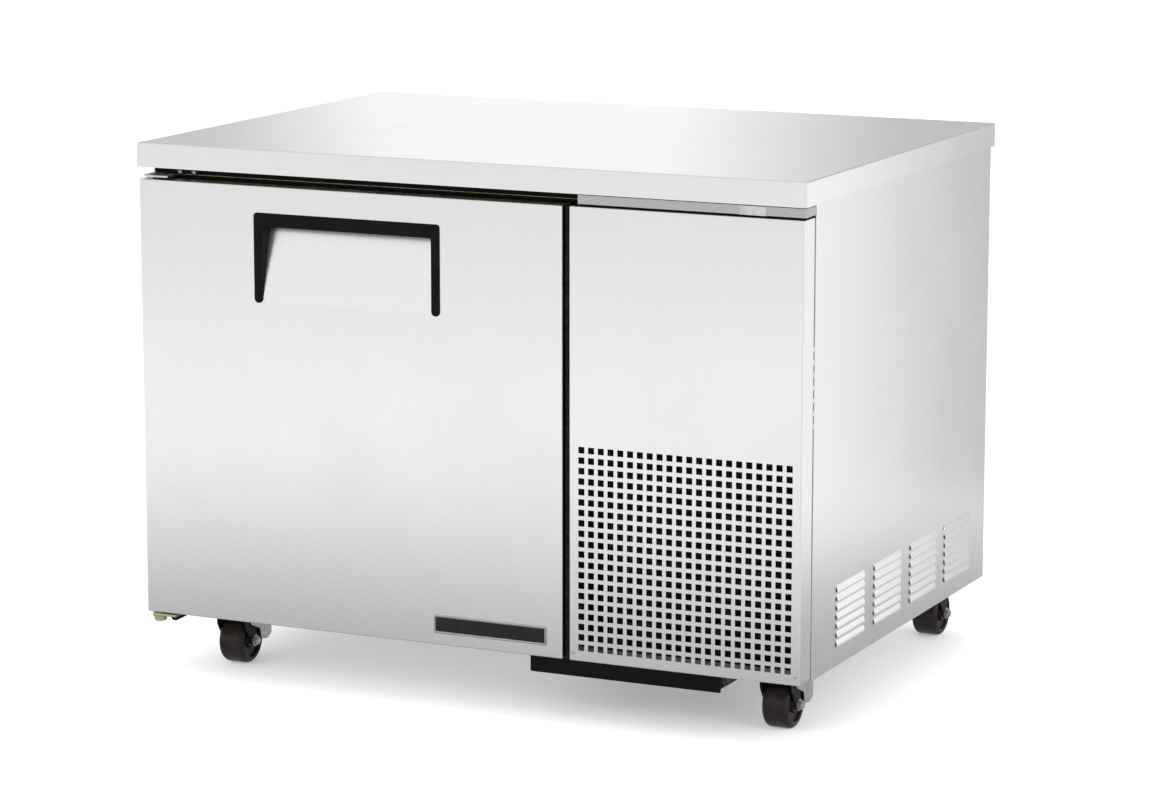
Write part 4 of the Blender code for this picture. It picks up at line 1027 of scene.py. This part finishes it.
# ---------------------------------------------------------------- hinges
def hinge_arm(name, left, back, thickness, low_z, pin_low, pin_high):
    """A steel arm with a round end over the hinge axis, and its fixed pin."""
    end = PIN_X - left
    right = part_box("door_skin")[0].x + 0.049
    corners = [(left, PIN_Y - end), (left, back), (right, back), (right, PIN_Y - end)]
    outline = rounded(corners, [end - 0.0002, 0.0, 0.0, 0.004], 10)
    arm = drawn(name, outline, low_z, low_z + thickness, "Z", 0.0005)
    profile = [(0.0, pin_low), (0.0042, pin_low), (0.0050, pin_low + 0.0008), (0.0050, pin_high - 0.0008)]
    profile += [(0.0042, pin_high), (0.0, pin_high)]
    return merged(name, arm, turned("pin", profile, (PIN_X, PIN_Y, 0.0), steps=32))


def upper_hinge():
    low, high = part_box("hinge_bracket_top")
    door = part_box("door_skin")
    arm_low = door[1].z + 0.003
    arm = hinge_arm("upper_hinge_bracket", low.x, high.y, 0.003, arm_low, low.z, arm_low + 0.0045)
    fit(arm, ZINC, "hinge_bracket_top")
    front = high.y - 0.0029
    # painted shade: the foot is black where it sits in the shade under the top's lip; the bracket's arm is
    # zinc
    foot = block("upper_hinge_foot_painted_shade", (door[0].x + 0.004, front, arm_low + 0.0032), high)
    fit(foot, BLACK_PAINT)
    screws = [(high.x - distance, front, high.z - 0.0062) for distance in (0.009, 0.034)]
    screw_heads("upper_hinge_screws", 0.0042, screws)


def lower_hinge():
    """The lower bracket with its foot, the nut under the pin and the stay behind them."""
    low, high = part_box("hinge_bracket_bottom")
    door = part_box("door_skin")[0]
    arm_low = door.z - 0.007
    arm = hinge_arm("lower_hinge_bracket", low.x, FRONT_Y, 0.004, arm_low, low.z, high.z)
    foot_low = (door.x + 0.004, FRONT_Y - 0.002, arm_low + 0.0005)
    foot = block("foot", foot_low, (high.x, high.y, arm_low + 0.0036), 0.0006)
    fit(merged(arm.name, arm, foot), YELLOW_ZINC, "hinge_bracket_bottom")
    nut = [(0.0, 0.0), (0.0080, 0.0), (0.0100, 0.0018), (0.0100, 0.0066), (0.0119, 0.0076)]
    nut += [(0.0119, 0.0098), (0.0, 0.0098)]
    fit(turned("lower_hinge_boss", nut, (PIN_X, PIN_Y, arm_low - 0.0099), steps=40), YELLOW_ZINC)
    top, bottom = arm_low + 0.0005, arm_low - 0.0125
    corners = [(PIN_X + 0.006, top), (PIN_X + 0.012, bottom), (PIN_X + 0.019, bottom), (PIN_X + 0.044, top)]
    gusset = rounded(corners, [0.0, 0.003, 0.003, 0.0])
    fit(drawn("lower_hinge_stay", gusset, FRONT_Y - 0.012, FRONT_Y - 0.0095, "Y", 0.0005), BLACK_PAINT)


# ---------------------------------------------------------------- cabinet
LOUVRE_COLUMNS = 4
LOUVRE_ROWS = 7
LOUVRE_LENGTH = 0.115
LOUVRE_PITCH_Y = 0.1585
LOUVRE_PITCH_Z = 0.0142
LOUVRE_PROUD = 0.0030
FIRST_LOUVRE = (-0.209, 0.135)


def worktop():
    """The folded top, with rounded folds and a return along the front lip."""
    low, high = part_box("worktop")
    fit(folded("worktop_sheet", low, high, ("-Z",), SHEET, FOLD), LEVEL_STEEL, "worktop")
    edge = SHEET + 0.0002
    hem_low = (low.x + edge, low.y + edge, low.z + 0.0001)
    fit(block("worktop_hem", hem_low, (high.x - edge, low.y + 0.014, low.z + SHEET), 0.0004), LEVEL_STEEL)


def louvred_side():
    """The right side, with louvres lanced out of the sheet: open at their feet and at their ends."""
    low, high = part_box("right_side_panel")
    face = high.x - LOUVRE_PROUD
    top, bottom = LOUVRE_PITCH_Z * 0.42, -LOUVRE_PITCH_Z * 0.36
    steps = 6
    outer = []
    for step in range(steps + 1):
        t = step / steps
        outer.append((face + LOUVRE_PROUD * math.sin(QUARTER * t), top + (bottom - top) * t))
    inner = [(x - 0.0009, z) for x, z in reversed(outer)]
    panel = new_object("side_panel_sheet", cube((face - SHEET, low.y, low.z), (face, high.y, high.z)))
    hoods, gaps = bmesh.new(), bmesh.new()
    for column in range(LOUVRE_COLUMNS):
        for row in range(LOUVRE_ROWS):
            start = FIRST_LOUVRE[0] + LOUVRE_PITCH_Y * column - LOUVRE_LENGTH / 2
            end = FIRST_LOUVRE[0] + LOUVRE_PITCH_Y * column + LOUVRE_LENGTH / 2
            z = FIRST_LOUVRE[1] + LOUVRE_PITCH_Z * row
            gather(hoods, drawn("hood", [(x, z + height) for x, height in outer + inner], start, end, "Y"))
            add_box(gaps, (face - 0.003, start, z + bottom), (face + 0.001, end, z + top - 0.0022))
    combine(panel, new_object("gaps", gaps))
    combine(panel, new_object("hoods", hoods), "UNION")
    fit(panel, UPRIGHT_STEEL, "right_side_panel")


def bulkhead():
    """The sheet that closes the machine compartment's left side, next to the foamed body; its black is
    painted shade, so that the grille's holes look dark.
    """
    low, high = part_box("insulated_body")
    edge = 0.004
    sheet_low = (high.x + 0.0001, low.y + edge, low.z + edge)
    sheet_high = (high.x + 0.0007, high.y - edge, high.z - edge)
    fit(block("machine_bulkhead_painted_shade", sheet_low, sheet_high, 0.0002), BLACK_PAINT)


def cabinet_details():
    """The panels' screws and the clip beside the top channel."""
    low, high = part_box("grille_panel")
    corners = [(x, low.y, low.z + 0.0135) for x in (low.x + 0.0065, high.x - 0.0065)]
    screw_heads("grille_screws", 0.0030, corners)
    low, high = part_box("rear_panel")
    rows = [low.z + 0.018 + (high.z - low.z - 0.036) * k / 4 for k in range(5)]
    edge = 0.011
    screws = [(x, high.y, z) for x in (low.x + edge, high.x - edge) for z in rows]
    columns = [low.x + (high.x - low.x) * k / 5 for k in range(1, 5)]
    screws += [(x, high.y, z) for x in columns for z in (rows[0], rows[-1])]
    screw_heads("rear_panel_screws", 0.0042, screws, 1)
    low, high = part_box("grille_top_channel")
    clip_low = (high.x - 0.105, low.y - 0.0010, low.z - 0.0006)
    fit(block("channel_clip", clip_low, (high.x - 0.062, low.y, high.z), 0.0004), ZINC)


def inlet():
    """The supply gland: a hexagonal flange, a domed nut and a round bore."""
    low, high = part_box("supply_inlet")
    centre = middle("supply_inlet")
    flange = hexagon("flange", centre.xz, (high.x - low.x) / 2, high.y - 0.0066, high.y - 0.0022, "Y", 0.0008)
    bore = 0.0055
    body = [(bore, -0.0100), (0.0106, -0.0100), (0.0106, 0.0070)]
    body += [(0.0100, 0.0092), (0.0082, 0.0102), (bore, 0.0102)]
    sleeve = turned("sleeve", body, centre, "Y", 40, ring=True)
    gland = merged("supply_gland", flange, sleeve)
    combine(gland, rod("hole", bore, -0.02, 0.02, centre, "Y", 40))
    fit(gland, BLACK_PLASTIC, "supply_inlet")


# ---------------------------------------------------------------- cold compartment
COVE = 0.014
SHELF_HOOKS = [middle(f"pilaster_left_{end}").y for end in ENDS]
SHELF_HOOK_HALF = 0.0035
SHELF_SIDE_GAP = 0.0180
SHELF_FRAME_RADIUS = 0.0025
SHELF_WIRES = 26
GUARD_RINGS = (0.012, 0.023, 0.034, 0.045, 0.056)
GUARD_SPOKES = 6
DIAL_TICKS = 11


def liner():
    """The metal liner of the compartment, with coved corners all round and at the back."""
    low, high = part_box("inner_liner")
    opening = cavity()
    start = high.y - SHEET - COVE
    loops = [(opening, COVE, low.y), (opening, COVE, start)]
    for step in range(1, 7):
        angle = QUARTER * step / 6
        loops.append((inset(opening, COVE * (1 - math.cos(angle))), COVE, start + COVE * math.sin(angle)))
    shell = relief("compartment_liner", loops, closed=False)
    fit(thickened(shell, SHEET, 1.0), LINER_ALUMINIUM, "inner_liner")


def shelf(level):
    """A coated wire shelf: fine wires from front to back on stouter ones, with hooks at the sides."""
    node = "shelf_" + level
    low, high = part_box(node)
    z = low.z + SHELF_FRAME_RADIUS
    edge = SHELF_SIDE_GAP + SHELF_FRAME_RADIUS
    left, right = low.x + edge, high.x - edge
    front, back = low.y + SHELF_FRAME_RADIUS, high.y - SHELF_FRAME_RADIUS
    rim = [(x, y, z) for x, y in rounded_rectangle((left, right, front, back), 0.010)]
    fit(wires("shelf_frame_" + level, [rim], SHELF_FRAME_RADIUS, True), COATED_WIRE, node)
    across = [
        [(left, y, low.z + 0.0016), (right, y, low.z + 0.0016)]
        for y in (low.y + (high.y - low.y) * k / 4 for k in (1, 2, 3))
    ]
    along = [
        [(x, front, z + 0.0010), (x, back, z + 0.0010)]
        for x in (left + (right - left) * k / SHELF_WIRES for k in range(1, SHELF_WIRES))
    ]
    fit(wires("shelf_wires_" + level, across + along, 0.0015), COATED_WIRE)
    hooks = []
    for wall, rail in ((low.x, left), (high.x, right)):
        for y in SHELF_HOOKS:
            near, far = y - SHELF_HOOK_HALF, y + SHELF_HOOK_HALF
            hooks.append([(rail, near, z), (wall, near, z), (wall, far, z), (rail, far, z)])
    fit(wires("shelf_hooks_" + level, hooks, 0.0014), COATED_WIRE)


def ray(centre, turn, start, end):
    """A straight stretch that points away from a centre, in a plane that faces the door."""
    away = Vector((math.cos(turn), 0.0, math.sin(turn)))
    return [centre + away * start, centre + away * end]


def evaporator_details():
    """The guard over the fan's mouth, the cover's screws and the thermostat's dial."""
    low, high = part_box("evaporator_cover")
    fan = middle("evaporator_fan")
    y = low.y - 0.0016
    rings = [[(x, y, z) for x, z in polygon(fan.xz, radius, 48)] for radius in GUARD_RINGS]
    fit(wires("fan_guard_rings", rings, 0.0011, True), COATED_WIRE)
    centre = Vector((fan.x, y, fan.z))
    spokes = [ray(centre, k * math.tau / GUARD_SPOKES, GUARD_RINGS[0], 0.062) for k in range(GUARD_SPOKES)]
    fit(wires("fan_guard_spokes", spokes, 0.0013), COATED_WIRE)
    screws = [(x, low.y, z) for x in (low.x + 0.014, high.x - 0.014) for z in (low.z + 0.014, high.z - 0.020)]
    screw_heads("evaporator_cover_screws", 0.0038, screws)
    dial = middle("thermostat_knob")
    centre = Vector((dial.x, low.y - 0.0003, dial.z))
    ticks = [
        ray(centre, math.radians(225 - 27 * k), 0.0215, 0.0250 if k % 5 else 0.0275)
        for k in range(DIAL_TICKS)
    ]
    fit(wires("thermostat_dial", ticks, 0.0005), DIAL_PRINT)


def knob():
    """The thermostat knob: a dished skirt, a tapered grip and a pointer line."""
    node = "thermostat_knob"
    low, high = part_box(node)
    x, z = middle(node).xz
    radius = (high.x - low.x) / 2
    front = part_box("evaporator_cover")[0].y - 0.018
    profile = [(0.0, 0.0), (0.0120, 0.0), (0.0135, 0.0012), (radius - 0.003, 0.0030)]
    profile += [(radius - 0.0008, 0.0046), (radius, 0.0070), (radius, 0.0164), (0.0, 0.0164)]
    skirt = turned("skirt", profile, (x, front, z), "Y", 56)
    grip = block("grip", (x - 0.0038, low.y, z - 0.0150), (x + 0.0038, front + 0.003, z + 0.0150), 0.0018, 4)
    stem = rod("stem", 0.0042, 0.0, 0.0280, (x, front + 0.003, z), "Y", 24)
    fit(merged("control_knob", skirt, grip, stem), BLACK_PLASTIC, node, body=node)
    line_low, line_high = (x - 0.0007, low.y - 0.0003, z + 0.0030), (x + 0.0007, low.y + 0.0006, z + 0.0140)
    fit(block("knob_pointer", line_low, line_high, 0.0002), DIAL_PRINT, body=node)


def finned_coil(name, node, pitch, rows, look, tube_look):
    """Thin upright fins on rows of tubes, with round return bends at both ends."""
    low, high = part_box(node)
    end = 0.010
    left, right = low.x + end, high.x - end
    count = int((right - left) / pitch)
    bm = bmesh.new()
    for k in range(count + 1):
        x = left + (right - left) * k / count
        thick = 0.0009 if k in (0, count) else 0.00022
        add_box(bm, (x - thick, low.y + 0.001, low.z + 0.001), (x + thick, high.y - 0.001, high.z - 0.001))
    fit(new_object(name, bm), look, node)
    depth = high.y - low.y
    heights = [low.z + (high.z - low.z) / rows * (row + 0.5) for row in range(rows)]
    left, right = left - 0.003, right + 0.003
    tube_rows = (low.y + depth * 0.28, low.y + depth * 0.72)
    lines = [[(left, y, z), (right, y, z)] for z in heights for y in tube_rows]
    bend = arc((0.0, 0.0), depth * 0.22, -90, 90, 10)
    y = (low.y + high.y) / 2
    for z in heights:
        for side, x in ((-1, left), (1, right)):
            lines.append([(x + side * out * 0.28, y + across, z) for out, across in bend])
    fit(wires(name + "_tubes", lines, 0.0042), tube_look)


def fan_rotor(name, node, hub_radius, thickness, look, blades=5, steps=8):
    """A round hub with curved, twisted blades."""
    low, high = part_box(node)
    centre = middle(node)
    radius = max(high.x - low.x, high.z - low.z) / 2
    depth = (high.y - low.y) / 2 - 0.001
    spread = 0.62 * math.tau / blades
    root = hub_radius * 0.85
    bm = bmesh.new()
    for number in range(blades):
        grid = []
        for i in range(steps + 1):
            out = i / steps
            reach = root + (radius - root) * out
            row = []
            for j in range(steps + 1):
                across = j / steps - 0.5
                round_tip = 1 - 0.10 * out * (2 * across) ** 2
                turn = number * math.tau / blades + spread * across * (0.75 + 0.25 * out) + 0.35 * out
                lift = depth * 2 * across * (1 - 0.35 * out) + depth * 0.25 * (1 - (2 * across) ** 2)
                at = Vector((math.cos(turn), 0.0, math.sin(turn))) * reach * round_tip
                row.append(bm.verts.new(centre + at + Vector((0.0, lift * 0.8, 0.0))))
            grid.append(row)
        for i in range(steps):
            for j in range(steps):
                bm.faces.new((grid[i][j], grid[i + 1][j], grid[i + 1][j + 1], grid[i][j + 1]))
    rotor = settle(thickened(new_object("blades", bm), thickness, 0.0))
    hub = [(0.0, -depth), (hub_radius * 0.86, -depth), (hub_radius, -depth * 0.8)]
    hub += [(hub_radius, depth), (0.0, depth)]
    fit(merged(name, turned("hub", hub, centre, "Y", 48), rotor), look, node, body=node)


# ---------------------------------------------------------------- machine compartment
POT_RADIUS = 0.074
SEAM_RADIUS = 0.079


def compressor():
    """A hermetic compressor: a domed pot with a weld seam, on a foot plate with rubber grommets."""
    low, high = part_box("compressor")
    x, y = middle("compressor").xy
    base = low.z + 0.012
    tall = high.z - base
    turns = [math.radians(angle) for angle in range(15, 91, 15)]
    profile = [(0.0, tall)]
    profile += [(POT_RADIUS * math.sin(turn), tall - 0.052 * (1 - math.cos(turn))) for turn in turns]
    profile += [(POT_RADIUS, 0.098), (SEAM_RADIUS - 0.001, 0.0955), (SEAM_RADIUS, 0.094)]
    profile += [(SEAM_RADIUS, 0.088), (SEAM_RADIUS - 0.001, 0.0865), (POT_RADIUS, 0.084), (POT_RADIUS, 0.035)]
    profile += [(0.040 + 0.034 * math.cos(turn), 0.034 - 0.034 * math.sin(turn)) for turn in turns]
    pot = turned("pot", [*profile, (0.0, 0.0)], (x, y, base), steps=72)
    sides = (low.x, high.x, max(low.y, y - 0.065), min(high.y, y + 0.065))
    foot = drawn("foot", rounded_rectangle(sides, 0.018), low.z + 0.006, low.z + 0.0095, "Z", 0.0006)
    pad = block("pad", (x - 0.05, y - 0.05, low.z + 0.0065), (x + 0.05, y + 0.05, low.z + 0.022), 0.003)
    fit(merged("compressor_shell", pot, foot, pad), BLACK_PAINT, "compressor")
    section = [(0.0, 0.0), (0.0095, 0.0), (0.0100, 0.0050), (0.0072, 0.0062)]
    section += [(0.0072, 0.0090), (0.0098, 0.0102), (0.0090, 0.0140), (0.0, 0.0145)]
    grommets = bmesh.new()
    for at in four_corners(Vector((x, y, 0.0)), 0.078, 0.048):
        gather(grommets, turned("rubber", section, (at.x, at.y, low.z), steps=32))
    fit(new_object("compressor_grommets", grommets), WHEEL_RUBBER)


def pan():
    """The condensate pan and its hanger, with soft edges on their black sheet metal."""
    low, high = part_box("condensate_pan")
    sides = node_rectangle("condensate_pan")
    loops = [(inset(sides, 0.0005), 0.0015, low.y)]
    loops += [(sides, 0.0020, low.y + forward) for forward in (0.0005, 0.0022)]
    front = relief("pan_front", loops)
    tray_low = (low.x + 0.012, low.y + 0.001, low.z + 0.002)
    tray = settle(folded("tray", tray_low, (high.x - 0.012, high.y, 0.0935), ("+Z",), 0.0016, 0.006))
    wing = low.z + 0.0155
    wings = [
        block("wing", (near, low.y + 0.001, wing), (far, high.y - 0.002, wing + 0.002), 0.0004)
        for near, far in ((low.x + 0.005, low.x + 0.013), (high.x - 0.013, high.x - 0.005))
    ]
    drawer = merged("condensate_drawer", front, tray, *wings)
    fit(drawer, BLACK_PAINT, "condensate_pan", body="condensate_pan")
    lip = low.z + 0.013
    low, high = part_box("pan_hanger")
    channel = settle(folded("pan_channel", low, high, ("-Y", "-Z"), 0.002, 0.003))
    lips = [
        block("lip", (near, low.y + 0.002, lip), (far, high.y - 0.001, lip + 0.0015), 0.0003)
        for near, far in ((low.x + 0.001, low.x + 0.009), (high.x - 0.009, high.x - 0.001))
    ]
    fit(merged("pan_channel", channel, *lips), BLACK_PAINT, "pan_hanger")


# ---------------------------------------------------------------- build
studio()
dress_frame()
castors()
handle()
scoop()
badge()
door_shell()
door_liner()
gasket()
upper_hinge()
lower_hinge()
worktop()
louvred_side()
bulkhead()
cabinet_details()
inlet()
liner()
shelf("lower")
shelf("upper")
evaporator_details()
knob()
# painted shade: the condenser's fins and tubes take the black paint so that the grille's holes look dark
finned_coil("condenser_fins", "condenser_coil", 0.0028, 5, BLACK_PAINT, BLACK_PAINT)
finned_coil("evaporator_fins", "evaporator_coil", 0.0040, 3, FIN_ALUMINIUM, COPPER)
fan_rotor("condenser_rotor", "condenser_fan", 0.024, 0.0012, FIN_ALUMINIUM)
fan_rotor("evaporator_rotor", "evaporator_fan", 0.013, 0.0014, BLACK_PLASTIC)
compressor()
pan()
